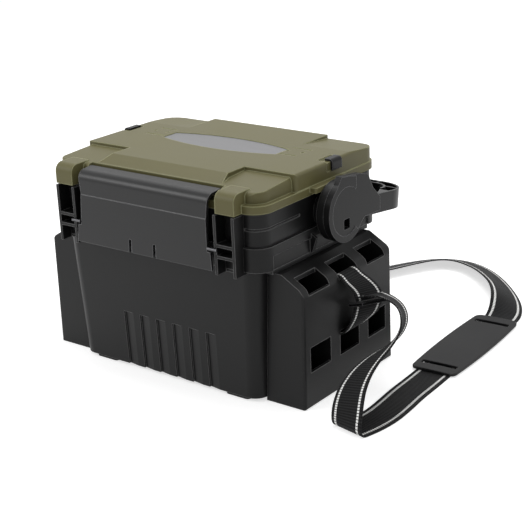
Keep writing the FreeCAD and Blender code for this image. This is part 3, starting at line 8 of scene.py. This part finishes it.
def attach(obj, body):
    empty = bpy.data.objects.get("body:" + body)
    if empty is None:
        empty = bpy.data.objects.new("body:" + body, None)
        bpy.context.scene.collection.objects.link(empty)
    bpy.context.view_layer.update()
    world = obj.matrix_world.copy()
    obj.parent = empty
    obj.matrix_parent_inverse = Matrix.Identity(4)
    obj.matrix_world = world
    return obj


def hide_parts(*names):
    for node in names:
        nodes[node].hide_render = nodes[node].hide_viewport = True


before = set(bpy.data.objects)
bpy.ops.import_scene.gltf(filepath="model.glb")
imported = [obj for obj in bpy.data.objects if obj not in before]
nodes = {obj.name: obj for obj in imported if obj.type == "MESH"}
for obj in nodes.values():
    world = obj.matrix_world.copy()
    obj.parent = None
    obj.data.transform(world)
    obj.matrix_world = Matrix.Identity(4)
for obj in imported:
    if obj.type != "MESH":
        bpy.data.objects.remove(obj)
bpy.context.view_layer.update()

MM = 0.001
# Sizes below are in millimetres from the middle of the tub. The frame's origin lies this far behind it.
ORIGIN_Y = 9.8


def at(x, y, z):
    return Vector((x, y - ORIGIN_Y, z)) * MM


# Camera, where the photographer stood: angles in degrees, distance in metres
CAMERA_AZIMUTH = 37.94
CAMERA_ELEVATION = 19.81
CAMERA_ROLL = -2.45
CAMERA_DISTANCE = 1.8794
CAMERA_AIM = (23.76, 76.39, 106.91)
SENSOR_WIDTH = 36
IMAGE_SIDE = 530
FOCAL_PIXELS = 1303.6


def place_camera():
    azimuth = math.radians(CAMERA_AZIMUTH)
    elevation = math.radians(CAMERA_ELEVATION)
    roll = math.radians(CAMERA_ROLL)
    outward = math.cos(elevation)
    back = Vector((math.sin(azimuth) * outward, -math.cos(azimuth) * outward, math.sin(elevation)))
    level = Vector((math.cos(azimuth), math.sin(azimuth), 0))
    upright = back.cross(level)
    right = level * math.cos(roll) + upright * math.sin(roll)
    up = upright * math.cos(roll) - level * math.sin(roll)
    spot = at(*CAMERA_AIM) + back * CAMERA_DISTANCE
    lens = bpy.data.cameras.new("camera")
    lens.sensor_width = SENSOR_WIDTH
    lens.lens = SENSOR_WIDTH * FOCAL_PIXELS / IMAGE_SIDE
    lens.clip_end = 50
    camera = bpy.data.objects.new("camera", lens)
    bpy.context.scene.collection.objects.link(camera)
    turn = Matrix((right, up, back)).transposed().to_4x4()
    camera.matrix_world = Matrix.Translation(spot) @ turn
    bpy.context.scene.camera = camera


place_camera()

# Shoulder strap. Each row is a point of the webbing's middle and the way its width lies.
# A loop's rows end with the webbing's width there, since it is gathered in the pocket.
WEB_HALF = 25.0
WEB_THICK = 1.8
# Lines of points across the webbing, as shares of its half width
ACROSS = (-1.0, -0.94, -0.5, 0.0, 0.5, 0.94, 1.0)
# Pieces of line between two control points
ROUTE_STEPS = 6
FREE_RUN = (
    (243, 19, 124.2, 0.18, 0.97, -0.13),
    (264, 16, 127.4, 0.16, 0.93, -0.34),
    (285, 12, 123, 0.08, 0.85, -0.52),
    (300, 4, 114, -0.12, 0.71, -0.69),
    (306, -9, 102, -0.36, 0.58, -0.73),
    (306, -25, 91, -0.60, 0.50, -0.62),
    (300, -43, 82, -0.75, 0.46, -0.47),
    (294, -63, 73, -0.83, 0.41, -0.37),
    (290, -82, 62, -0.90, 0.33, -0.29),
    (289, -99, 48, -0.95, 0.20, -0.25),
    (291, -111, 34, -0.97, 0.10, -0.24),
    (294.5, -120.7, 20, -0.98, 0.14, -0.12),
    (297, -126, 10.9, -0.98, 0.20, -0.03),
    (297.9, -124.7, 5.1, -0.98, 0.20, 0.0),
    (299, -120.1, 1.2, -0.98, 0.20, 0.0),
    (302, -109, 1.2, -0.97, 0.22, 0.0),
    (306.5, -91, 1.2, -0.98, 0.18, 0.0),
    (309.5, -63, 1.2, -1.0, 0.03, 0.0),
    (307, -28, 1.2, -0.99, -0.10, 0.0),
    (303, 8, 1.2, -1.0, -0.08, 0.0),
    (301.5, 46, 1.2, -1.0, -0.05, 0.0),
    (299, 84, 1.2, -1.0, -0.06, 0.0),
    (296, 124, 1.2, -1.0, -0.05, 0.0),
    (294.5, 166, 1.2, -1.0, -0.04, 0.0),
    (292, 208, 1.2, -1.0, -0.05, 0.0),
    (291, 244, 1.2, -1.0, -0.03, 0.0),
    (289.9, 270, 1.2, -1.0, -0.04, 0.0),
    (288.8, 292, 1.2, -1.0, -0.05, 0.0),
    (287, 308, 3.2, -0.98, -0.16, 0.07),
    (283, 324, 7.6, -0.92, -0.30, 0.21),
    (270, 351, 13.2, -0.77, -0.46, 0.43),
    (248, 382, 14, -0.69, -0.52, 0.50),
    (220, 412, 13, -0.65, -0.60, 0.46),
    (190, 440, 11.3, -0.56, -0.72, 0.41),
    (158, 461, 10.2, -0.36, -0.87, 0.34),
    (125, 472, 9.5, 0.02, -0.95, 0.31),
    (94, 464, 9.4, 0.48, -0.83, 0.31),
    (71, 440, 9.2, 0.76, -0.57, 0.31),
    (53, 409, 8.8, 0.83, -0.47, 0.29),
    (36, 376, 8.4, 0.83, -0.49, 0.27),
    (15, 344, 7.8, 0.76, -0.60, 0.25),
    (-13, 315, 7.2, 0.64, -0.73, 0.22),
    (-49, 290, 6.8, 0.53, -0.82, 0.21),
    (-90, 266, 6.6, 0.48, -0.85, 0.20),
    (-132, 244, 6.8, 0.50, -0.84, 0.20),
    (-174, 218, 7.4, 0.62, -0.76, 0.20),
    (-212, 188, 8.6, 0.74, -0.64, 0.18),
    (-243, 160, 12, 0.80, -0.58, 0.10),
    (-268, 135, 21, 0.83, -0.55, -0.05),
    (-284, 113, 35, 0.86, -0.45, -0.20),
    (-291, 96, 50, 0.88, -0.38, -0.28),
    (-294, 80, 64, 0.87, -0.37, -0.33),
    (-299, 60, 77, 0.80, -0.42, -0.42),
    (-304, 40, 88, 0.68, -0.48, -0.54),
    (-307, 21, 99, 0.48, -0.55, -0.68),
    (-303, 5, 110, 0.24, -0.65, -0.72),
    (-286, -11, 122, -0.06, -0.84, -0.54),
    (-264, -16, 127.4, -0.16, -0.93, -0.34),
    (-243, -19, 124.2, -0.18, -0.97, -0.13),
)
LOOP = (
    (240.6, 18.5, 117.7, 0.22, 0.97, -0.13, 50.0),
    (238, 19.5, 125, 0.20, 0.97, -0.13, 50.0),
    (234.5, 15.5, 134, 0.16, 0.98, -0.10, 50.0),
    (230, 8.5, 143, 0.08, 0.99, -0.04, 48.0),
    (226.5, 1.5, 150.5, 0.0, 1.0, 0.0, 45.0),
    (221.3, 0, 157, 0.0, 1.0, 0.0, 43.0),
    (213, 0, 158.6, 0.0, 1.0, 0.0, 43.0),
    (206, 0, 151.5, 0.0, 1.0, 0.0, 43.0),
    (202.5, 0, 139, 0.0, 1.0, 0.0, 43.0),
    (201, 0, 119, 0.0, 1.0, 0.0, 43.0),
    (202, 0, 97, 0.0, 1.0, 0.0, 43.0),
    (206, 0, 81, 0.0, 1.0, 0.0, 43.0),
    (216, 0, 75, 0.0, 1.0, 0.0, 43.0),
    (225, 0.3, 79.5, 0.0, 1.0, 0.0, 43.0),
    (231.5, 6, 87.5, 0.08, 0.99, -0.02, 46.0),
    (236.3, 15.3, 98, 0.17, 0.98, -0.10, 50.0),
    (238.2, 17, 109.8, 0.22, 0.97, -0.13, 50.0),
)


def route_line(points, name):
    """The smooth line that a row of control points draws, as a list of points."""
    curve = bpy.data.curves.new(name, "CURVE")
    curve.dimensions = "3D"
    curve.resolution_u = ROUTE_STEPS
    spline = curve.splines.new("NURBS")
    spline.points.add(len(points) - 1)
    for knot, point in zip(spline.points, points):
        knot.co = (*point, 1)
    spline.order_u = 3
    spline.use_endpoint_u = True
    holder = bpy.data.objects.new(name, curve)
    bpy.context.scene.collection.objects.link(holder)
    bpy.context.view_layer.update()
    mesh = bpy.data.meshes.new_from_object(holder)
    line = [v.co.copy() for v in mesh.vertices]
    bpy.data.objects.remove(holder)
    bpy.data.meshes.remove(mesh)
    return line


def webbing(name, rows, turned=False):
    """Flat woven strap along its route, with u across the width and v along it in metres."""
    lines = []
    for share in ACROSS:
        points = []
        for row in rows:
            half = row[6] / 2 if len(row) > 6 else WEB_HALF
            side = Vector(row[3:6]).normalized() * half * share * MM
            x, y, z = row[:3]
            if turned:
                x, y = -x, -y
                side = Vector((-side.x, -side.y, side.z))
            points.append(at(x, y, z) + side)
        lines.append(route_line(points, name + "_edge"))
    middle = lines[ACROSS.index(0.0)]
    along = [0.0]
    for here, there in zip(middle, middle[1:]):
        along.append(along[-1] + (there - here).length)
    mesh = bpy.data.meshes.new(name)
    builder = bmesh.new()
    grid = [[builder.verts.new(p) for p in line] for line in lines]
    layer = builder.loops.layers.uv.new("weave")
    for j in range(len(ACROSS) - 1):
        for i in range(len(middle) - 1):
            corners = (grid[j][i], grid[j + 1][i], grid[j + 1][i + 1], grid[j][i + 1])
            face = builder.faces.new(corners)
            face.smooth = True
            spots = ((j, i), (j + 1, i), (j + 1, i + 1), (j, i + 1))
            for corner, (across, step) in zip(face.loops, spots):
                corner[layer].uv = (ACROSS[across] / 2 + 0.5, along[step])
    builder.to_mesh(mesh)
    builder.free()
    piece = bpy.data.objects.new(name, mesh)
    bpy.context.scene.collection.objects.link(piece)
    wall = piece.modifiers.new("thickness", "SOLIDIFY")
    wall.thickness = WEB_THICK * MM
    wall.offset = 0
    apply_all(piece)
    return piece, middle


def only(piece):
    """Selects one piece and nothing else."""
    bpy.ops.object.select_all(action="DESELECT")
    bpy.context.view_layer.objects.active = piece
    piece.select_set(True)


def apply_all(piece):
    only(piece)
    for modifier in list(piece.modifiers):
        bpy.ops.object.modifier_apply(modifier=modifier.name)


strap, strap_line = webbing("shoulder_strap", FREE_RUN)
right_loop, _ = webbing("right_loop_webbing", LOOP)
left_loop, _ = webbing("left_loop_webbing", LOOP, turned=True)

# Finishes. The mould grain and the painted edge highlight are shared by all plastics and rubbers.
GRAIN_DEPTH = 0.00006
EDGE_SAMPLES = 6


def effect(name, takes, gives):
    """Empty shader node group with named number or colour sockets."""
    group = bpy.data.node_groups.new(name, "ShaderNodeTree")
    for label, kind, value in takes:
        socket = group.interface.new_socket(label, in_out="INPUT", socket_type=kind)
        socket.default_value = value
    for label, kind in gives:
        group.interface.new_socket(label, in_out="OUTPUT", socket_type=kind)
    return group, group.nodes.new("NodeGroupInput"), group.nodes.new("NodeGroupOutput")


def mould_grain():
    """Fine spark grain of moulded plastic, with a slow change of shade and of gloss."""
    group, takes, gives = effect("mould_grain", [
        ("Grain per metre", "NodeSocketFloat", 1400.0), ("Patches per metre", "NodeSocketFloat", 14.0),
        ("Shade", "NodeSocketColor", (0.02, 0.02, 0.02, 1)), ("Shade change", "NodeSocketFloat", 0.2),
        ("Gloss", "NodeSocketFloat", 0.5), ("Gloss change", "NodeSocketFloat", 0.1)],
        [("Colour", "NodeSocketColor"), ("Roughness", "NodeSocketFloat"), ("Height", "NodeSocketFloat")])
    links = group.links
    place = group.nodes.new("ShaderNodeTexCoord")
    grain = group.nodes.new("ShaderNodeTexNoise")
    grain.inputs["Detail"].default_value = 3
    grain.inputs["Roughness"].default_value = 0.6
    links.new(place.outputs["Object"], grain.inputs["Vector"])
    links.new(takes.outputs["Grain per metre"], grain.inputs["Scale"])
    patches = group.nodes.new("ShaderNodeTexNoise")
    patches.inputs["Detail"].default_value = 4
    links.new(place.outputs["Object"], patches.inputs["Vector"])
    links.new(takes.outputs["Patches per metre"], patches.inputs["Scale"])
    centred = group.nodes.new("ShaderNodeMath")
    centred.operation = "SUBTRACT"
    centred.inputs[1].default_value = 0.5
    links.new(patches.outputs["Fac"], centred.inputs[0])
    swing = group.nodes.new("ShaderNodeMath")
    swing.operation = "MULTIPLY_ADD"
    swing.inputs[2].default_value = 1.0
    links.new(centred.outputs[0], swing.inputs[0])
    links.new(takes.outputs["Shade change"], swing.inputs[1])
    shade = group.nodes.new("ShaderNodeVectorMath")
    shade.operation = "SCALE"
    links.new(takes.outputs["Shade"], shade.inputs[0])
    links.new(swing.outputs[0], shade.inputs["Scale"])
    links.new(shade.outputs[0], gives.inputs["Colour"])
    gloss = group.nodes.new("ShaderNodeMath")
    gloss.operation = "MULTIPLY_ADD"
    links.new(centred.outputs[0], gloss.inputs[0])
    links.new(takes.outputs["Gloss change"], gloss.inputs[1])
    links.new(takes.outputs["Gloss"], gloss.inputs[2])
    links.new(gloss.outputs[0], gives.inputs["Roughness"])
    links.new(grain.outputs["Fac"], gives.inputs["Height"])
    return group


def painted_edge_highlight():
    """Painted edge highlight: how far the rounded normal leans from the flat one, bright along edges,
    nothing on the flats.
    """
    group, takes, gives = effect("painted_edge_highlight", [
        ("Rounded", "NodeSocketVector", (0, 0, 1)), ("Amount", "NodeSocketFloat", 1.0)],
        [("Mask", "NodeSocketFloat")])
    links = group.links
    flat = group.nodes.new("ShaderNodeNewGeometry")
    dot = group.nodes.new("ShaderNodeVectorMath")
    dot.operation = "DOT_PRODUCT"
    links.new(takes.outputs["Rounded"], dot.inputs[0])
    links.new(flat.outputs["True Normal"], dot.inputs[1])
    spread = group.nodes.new("ShaderNodeMapRange")
    spread.inputs["From Min"].default_value = 0.995
    spread.inputs["From Max"].default_value = 0.8
    links.new(dot.outputs["Value"], spread.inputs["Value"])
    size = group.nodes.new("ShaderNodeMath")
    size.operation = "MULTIPLY"
    links.new(spread.outputs["Result"], size.inputs[0])
    links.new(takes.outputs["Amount"], size.inputs[1])
    links.new(size.outputs[0], gives.inputs["Mask"])
    return group


GRAIN = mould_grain()
EDGE = painted_edge_highlight()


def moulded(name, shade, gloss, edge_highlight_colour, rounding=1.0, grain=1400.0, shade_change=0.25, specular=0.4,
            edge=0.5):
    """Moulded plastic or rubber: grain, patches of shade and gloss, and a painted highlight along rounded
    edges.
    """
    material = bpy.data.materials.new(name)
    material.use_nodes = True
    tree = material.node_tree
    links = tree.links
    surface = tree.nodes["Principled BSDF"]
    surface.inputs["Specular IOR Level"].default_value = specular
    mould = tree.nodes.new("ShaderNodeGroup")
    mould.node_tree = GRAIN
    mould.inputs["Grain per metre"].default_value = grain
    mould.inputs["Shade"].default_value = (*shade, 1)
    mould.inputs["Shade change"].default_value = shade_change
    mould.inputs["Gloss"].default_value = gloss
    rounded = tree.nodes.new("ShaderNodeBevel")
    rounded.samples = EDGE_SAMPLES
    rounded.inputs["Radius"].default_value = rounding * MM
    edge_highlight = tree.nodes.new("ShaderNodeGroup")
    edge_highlight.node_tree = EDGE
    edge_highlight.inputs["Amount"].default_value = edge
    links.new(rounded.outputs["Normal"], edge_highlight.inputs["Rounded"])
    # Lighter colour mixed in along the edge mask: a painted highlight on the edges.
    paint = tree.nodes.new("ShaderNodeMix")
    paint.data_type = "RGBA"
    links.new(edge_highlight.outputs["Mask"], paint.inputs["Factor"])
    links.new(mould.outputs["Colour"], paint.inputs[6])
    paint.inputs[7].default_value = (*edge_highlight_colour, 1)
    links.new(paint.outputs[2], surface.inputs["Base Color"])
    links.new(mould.outputs["Roughness"], surface.inputs["Roughness"])
    bump = tree.nodes.new("ShaderNodeBump")
    bump.inputs["Strength"].default_value = 0.6
    bump.inputs["Distance"].default_value = GRAIN_DEPTH
    links.new(mould.outputs["Height"], bump.inputs["Height"])
    links.new(rounded.outputs["Normal"], bump.inputs["Normal"])
    links.new(bump.outputs["Normal"], surface.inputs["Normal"])
    return material


def metal(name, shade, gloss, lines):
    """Bare metal with fine drawing lines along X, as many per metre as lines says."""
    material = bpy.data.materials.new(name)
    material.use_nodes = True
    tree = material.node_tree
    links = tree.links
    surface = tree.nodes["Principled BSDF"]
    surface.inputs["Metallic"].default_value = 1.0
    place = tree.nodes.new("ShaderNodeTexCoord")
    stretch = tree.nodes.new("ShaderNodeMapping")
    stretch.inputs["Scale"].default_value = (0.02, 1, 1)
    links.new(place.outputs["Object"], stretch.inputs["Vector"])
    streaks = tree.nodes.new("ShaderNodeTexNoise")
    streaks.inputs["Scale"].default_value = lines
    streaks.inputs["Detail"].default_value = 3
    links.new(stretch.outputs["Vector"], streaks.inputs["Vector"])
    ramp = tree.nodes.new("ShaderNodeValToRGB")
    ramp.color_ramp.elements[0].color = (*[c * 0.8 for c in shade], 1)
    ramp.color_ramp.elements[1].color = (*[min(1, c * 1.15) for c in shade], 1)
    links.new(streaks.outputs["Fac"], ramp.inputs["Fac"])
    links.new(ramp.outputs["Color"], surface.inputs["Base Color"])
    spread = tree.nodes.new("ShaderNodeMapRange")
    spread.inputs["To Min"].default_value = gloss * 0.85
    spread.inputs["To Max"].default_value = gloss * 1.15
    links.new(streaks.outputs["Fac"], spread.inputs["Value"])
    links.new(spread.outputs["Result"], surface.inputs["Roughness"])
    bump = tree.nodes.new("ShaderNodeBump")
    bump.inputs["Strength"].default_value = 0.3
    bump.inputs["Distance"].default_value = 0.00003
    links.new(streaks.outputs["Fac"], bump.inputs["Height"])
    links.new(bump.outputs["Normal"], surface.inputs["Normal"])
    return material


# Webbing: pitch of the crosswise ribs in metres, yarns across, and the place and half width of a pale line
RIB_PITCH = 0.0034
YARNS = 34
PALE_LINE = 0.37
PALE_HALF = 0.034


def woven(name):
    """Ribbed black webbing with a pale beaded line near each edge."""
    material = bpy.data.materials.new(name)
    material.use_nodes = True
    tree = material.node_tree
    links = tree.links
    surface = tree.nodes["Principled BSDF"]
    surface.inputs["Roughness"].default_value = 0.72
    surface.inputs["Specular IOR Level"].default_value = 0.12
    surface.inputs["Sheen Weight"].default_value = 0.05
    surface.inputs["Sheen Roughness"].default_value = 0.5
    own = tree.nodes.new("ShaderNodeUVMap")
    own.uv_map = "weave"
    split = tree.nodes.new("ShaderNodeSeparateXYZ")
    links.new(own.outputs["UV"], split.inputs["Vector"])

    def number(operation, first, second=None):
        node = tree.nodes.new("ShaderNodeMath")
        node.operation = operation
        for socket, value in zip(node.inputs, (first, second)):
            if value is None:
                continue
            if isinstance(value, (int, float)):
                socket.default_value = value
            else:
                links.new(value, socket)
        return node.outputs[0]

    across = split.outputs["X"]
    along = split.outputs["Y"]
    # Crosswise ribs and lengthwise yarns
    ribs = number("SINE", number("MULTIPLY", along, 2 * math.pi / RIB_PITCH))
    yarns = number("SINE", number("MULTIPLY", across, 2 * math.pi * YARNS))
    relief = number("ADD", number("MULTIPLY", ribs, 0.7), number("MULTIPLY", yarns, 0.3))
    # Two pale lines, each the same way from the middle, broken into beads
    out = number("ABSOLUTE", number("SUBTRACT", across, 0.5))
    near = number("LESS_THAN", number("ABSOLUTE", number("SUBTRACT", out, PALE_LINE)), PALE_HALF)
    bead = number("GREATER_THAN", ribs, -0.75)
    line = number("MULTIPLY", near, bead)
    fuzz = tree.nodes.new("ShaderNodeTexNoise")
    fuzz.inputs["Scale"].default_value = 260
    fuzz.inputs["Detail"].default_value = 3
    links.new(own.outputs["UV"], fuzz.inputs["Vector"])
    cloth = tree.nodes.new("ShaderNodeValToRGB")
    cloth.color_ramp.elements[0].position = 0.25
    cloth.color_ramp.elements[0].color = (0.002, 0.002, 0.0022, 1)
    cloth.color_ramp.elements[1].position = 0.9
    cloth.color_ramp.elements[1].color = (0.022, 0.022, 0.023, 1)
    mixed = number("ADD", number("MULTIPLY", relief, 0.45), fuzz.outputs["Fac"])
    links.new(mixed, cloth.inputs["Fac"])
    paint = tree.nodes.new("ShaderNodeMix")
    paint.data_type = "RGBA"
    paint.inputs[7].default_value = (0.95, 0.95, 0.93, 1)
    links.new(line, paint.inputs["Factor"])
    links.new(cloth.outputs["Color"], paint.inputs[6])
    links.new(paint.outputs[2], surface.inputs["Base Color"])
    bump = tree.nodes.new("ShaderNodeBump")
    bump.inputs["Strength"].default_value = 0.7
    bump.inputs["Distance"].default_value = 0.0003
    links.new(relief, bump.inputs["Height"])
    links.new(bump.outputs["Normal"], surface.inputs["Normal"])
    return material


# The third colour of each finish is the painted highlight along its edges.
tub_plastic = moulded("black_tub_plastic", (0.0060, 0.0060, 0.0062), 0.40, (0.20, 0.20, 0.20),
                      rounding=1.8, specular=0.20, edge=0.9)
block_plastic = moulded("black_block_plastic", (0.0055, 0.0055, 0.0057), 0.42, (0.28, 0.28, 0.28),
                        rounding=1.8, specular=0.20, edge=0.9)
latch_plastic = moulded("satin_latch_plastic", (0.0085, 0.0085, 0.0090), 0.34, (0.30, 0.30, 0.31),
                        rounding=1.6, specular=0.34, edge=0.85)
handle_plastic = moulded("satin_handle_plastic", (0.0050, 0.0050, 0.0053), 0.36, (0.20, 0.20, 0.205),
                         rounding=1.6, specular=0.16, edge=0.85)
lid_plastic = moulded("olive_lid_plastic", (0.120, 0.110, 0.046), 0.46, (0.42, 0.42, 0.23),
                      rounding=2.6, shade_change=0.16, specular=0.25, edge=0.9)
dark_rubber = moulded("dark_rubber", (0.018, 0.018, 0.018), 0.75, (0.03, 0.03, 0.03),
                      rounding=0.8, grain=900.0)
pad_rubber = moulded("grey_pad_skin", (0.010, 0.010, 0.0105), 0.55, (0.09, 0.09, 0.09),
                     rounding=1.4, grain=1100.0, specular=0.2)
label_metal = metal("grey_label_plate", (0.21, 0.21, 0.215), 0.42, 500)
bright_steel = metal("bright_steel", (0.55, 0.55, 0.56), 0.25, 1500)
dark_pin = metal("blackened_pin", (0.10, 0.10, 0.105), 0.4, 1500)
strap_cloth = woven("striped_webbing")

FINISH = {
    "tub": tub_plastic, "tub_band": tub_plastic, "tub_neck": tub_plastic, "right_corner_tower": tub_plastic,
    "left_corner_tower": tub_plastic, "right_handle_boss": tub_plastic, "left_handle_boss": tub_plastic,
    "right_rod_block": block_plastic, "left_rod_block": block_plastic,
    "front_latch": latch_plastic, "right_end_clip": handle_plastic, "left_end_clip": handle_plastic,
    "handle_bail": handle_plastic, "right_handle_axle": handle_plastic, "left_handle_axle": handle_plastic,
    "right_slider": handle_plastic, "left_slider": handle_plastic,
    "lid": lid_plastic, "label_plate": label_metal, "lid_seal": dark_rubber,
    "front_left_foot": dark_rubber, "front_right_foot": dark_rubber,
    "rear_left_foot": dark_rubber, "rear_right_foot": dark_rubber,
    "right_catch_nub": dark_pin, "left_catch_nub": dark_pin, "front_catch_rod": bright_steel,
    "right_hinge_pin": bright_steel, "left_hinge_pin": bright_steel, "front_latch_rod": bright_steel,
    "right_block_screws": bright_steel, "left_block_screws": bright_steel,
}


def finish_piece(piece, material, body):
    piece.data.materials.clear()
    piece.data.materials.append(material)
    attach(piece, body)


for node, material in FINISH.items():
    cad = nodes[node]
    if not cad.material_slots:
        cad.data.materials.append(material)
    for material_slot in cad.material_slots:
        material_slot.material = material

for piece in (strap, right_loop, left_loop):
    finish_piece(piece, strap_cloth, "box")
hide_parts("strap_webbing")
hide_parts("right_strap_loop")
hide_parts("left_strap_loop")


# Shoulder pad: a domed strip with bulged sides, a cross slot near each end, lying on the webbing
PAD_START = (298.5, 82.0, 0)
PAD_END = (287.0, 288.5, 0)
PAD_HALF_LONG = 106.0
PAD_HALF_WIDE = 32.5
PAD_BULGE = 4.0
PAD_CORNER = 9
PAD_SLOT_INSET = 22
PAD_SLOT_HALF_WIDE = 4.5
PAD_SLOT_HALF_LONG = 26
PAD_UNDERSIDE = 2.35
PAD_BODY = 3.1
PAD_CROWN = 0.8
PAD_LIFT = 0.5
PAD_WALL = 3.9
PAD_ROUNDING = 1.2


def shoulder_pad():
    start = at(*PAD_START)
    end = at(*PAD_END)
    heading = (end - start).normalized()
    side = Vector((0, 0, 1)).cross(heading)
    middle = (start + end) / 2
    bpy.ops.object.select_all(action="DESELECT")
    bpy.ops.mesh.primitive_grid_add(x_subdivisions=106, y_subdivisions=26, size=2, location=(0, 0, 0))
    pad = bpy.context.active_object
    pad.name = "shoulder_pad_skin"
    shape = bmesh.new()
    shape.from_mesh(pad.data)
    slots = []
    for face in shape.faces:
        s = face.calc_center_median().x * PAD_HALF_LONG
        t = face.calc_center_median().y * PAD_HALF_WIDE
        from_slot = abs(abs(s) - (PAD_HALF_LONG - PAD_SLOT_INSET))
        if from_slot < PAD_SLOT_HALF_WIDE and abs(t) < PAD_SLOT_HALF_LONG:
            slots.append(face)
    bmesh.ops.delete(shape, geom=slots, context="FACES")
    for vertex in shape.verts:
        s = vertex.co.x * PAD_HALF_LONG
        t = vertex.co.y
        reach = PAD_HALF_WIDE + PAD_BULGE * (1 - (s / PAD_HALF_LONG) ** 2)
        corner = max(0.0, abs(s) - (PAD_HALF_LONG - PAD_CORNER)) / PAD_CORNER
        reach -= PAD_CORNER * (1 - math.sqrt(max(0.0, 1 - corner ** 2))) * 0.8
        crown = PAD_CROWN * (1 - abs(t) ** 3) + PAD_LIFT
        place = middle + heading * s * MM + side * t * reach * MM
        vertex.co = (place.x, place.y, (PAD_UNDERSIDE + PAD_BODY + crown) * MM)
    shape.to_mesh(pad.data)
    shape.free()
    wall = pad.modifiers.new("thickness", "SOLIDIFY")
    wall.thickness = PAD_WALL * MM
    wall.offset = -1
    round_off = pad.modifiers.new("rounding", "BEVEL")
    round_off.width = PAD_ROUNDING * MM
    round_off.segments = 3
    round_off.angle_limit = math.radians(50)
    apply_all(pad)
    only(pad)
    bpy.ops.object.shade_smooth_by_angle(angle=math.radians(40))
    return pad


pad = shoulder_pad()
finish_piece(pad, pad_rubber, "box")
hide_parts("shoulder_pad")


# Floor, sky and lamps. The floor's glow only reaches the rays that show the background.
FLOOR_GLOW = 0.62
ROOM_LIGHT = 0.45


def shown_rays(tree):
    """1 for rays that show the background: straight to the camera, mirrored or through something clear."""
    path = tree.nodes.new("ShaderNodeLightPath")
    first = tree.nodes.new("ShaderNodeMath")
    first.operation = "MAXIMUM"
    tree.links.new(path.outputs["Is Camera Ray"], first.inputs[0])
    tree.links.new(path.outputs["Is Glossy Ray"], first.inputs[1])
    both = tree.nodes.new("ShaderNodeMath")
    both.operation = "MAXIMUM"
    tree.links.new(first.outputs[0], both.inputs[0])
    tree.links.new(path.outputs["Is Transmission Ray"], both.inputs[1])
    return both.outputs[0]


def studio():
    bpy.context.scene.view_settings.view_transform = "Standard"
    bpy.ops.object.select_all(action="DESELECT")
    bpy.ops.mesh.primitive_plane_add(size=16, location=(0, 0, 0))
    floor = bpy.context.active_object
    floor.name = "pale_floor"
    material = bpy.data.materials.new("pale_floor")
    material.use_nodes = True
    surface = material.node_tree.nodes["Principled BSDF"]
    surface.inputs["Base Color"].default_value = (0.80, 0.80, 0.80, 1)
    surface.inputs["Roughness"].default_value = 0.9
    surface.inputs["Specular IOR Level"].default_value = 0.1
    surface.inputs["Emission Color"].default_value = (1, 1, 1, 1)
    links = material.node_tree.links
    seen = material.node_tree.nodes.new("ShaderNodeMath")
    seen.operation = "MULTIPLY"
    seen.inputs[1].default_value = FLOOR_GLOW
    links.new(shown_rays(material.node_tree), seen.inputs[0])
    links.new(seen.outputs[0], surface.inputs["Emission Strength"])
    floor.data.materials.append(material)

    world = bpy.data.worlds.new("pale_room")
    bpy.context.scene.world = world
    world.use_nodes = True
    tree = world.node_tree
    sky = tree.nodes["Background"]
    sky.inputs["Color"].default_value = (1, 1, 1, 1)
    seen = tree.nodes.new("ShaderNodeMath")
    seen.operation = "MAXIMUM"
    tree.links.new(shown_rays(tree), seen.inputs[0])
    seen.inputs[1].default_value = ROOM_LIGHT
    tree.links.new(seen.outputs[0], sky.inputs["Strength"])

    def lamp(name, spot, aim, size, power):
        light = bpy.data.lights.new(name, "AREA")
        light.size = size
        light.energy = power
        holder = bpy.data.objects.new(name, light)
        bpy.context.scene.collection.objects.link(holder)
        holder.location = spot
        holder.rotation_euler = (Vector(aim) - Vector(spot)).to_track_quat("-Z", "Y").to_euler()

    lamp("top_lamp", (-0.2, 0.5, 2.0), (0, 0, 0.2), 1.6, 24)
    lamp("left_lamp", (-1.5, -1.7, 1.5), (0, 0, 0.2), 1.0, 18)
    lamp("right_lamp", (2.2, 0.2, 1.3), (0, 0, 0.2), 0.9, 5)


studio()
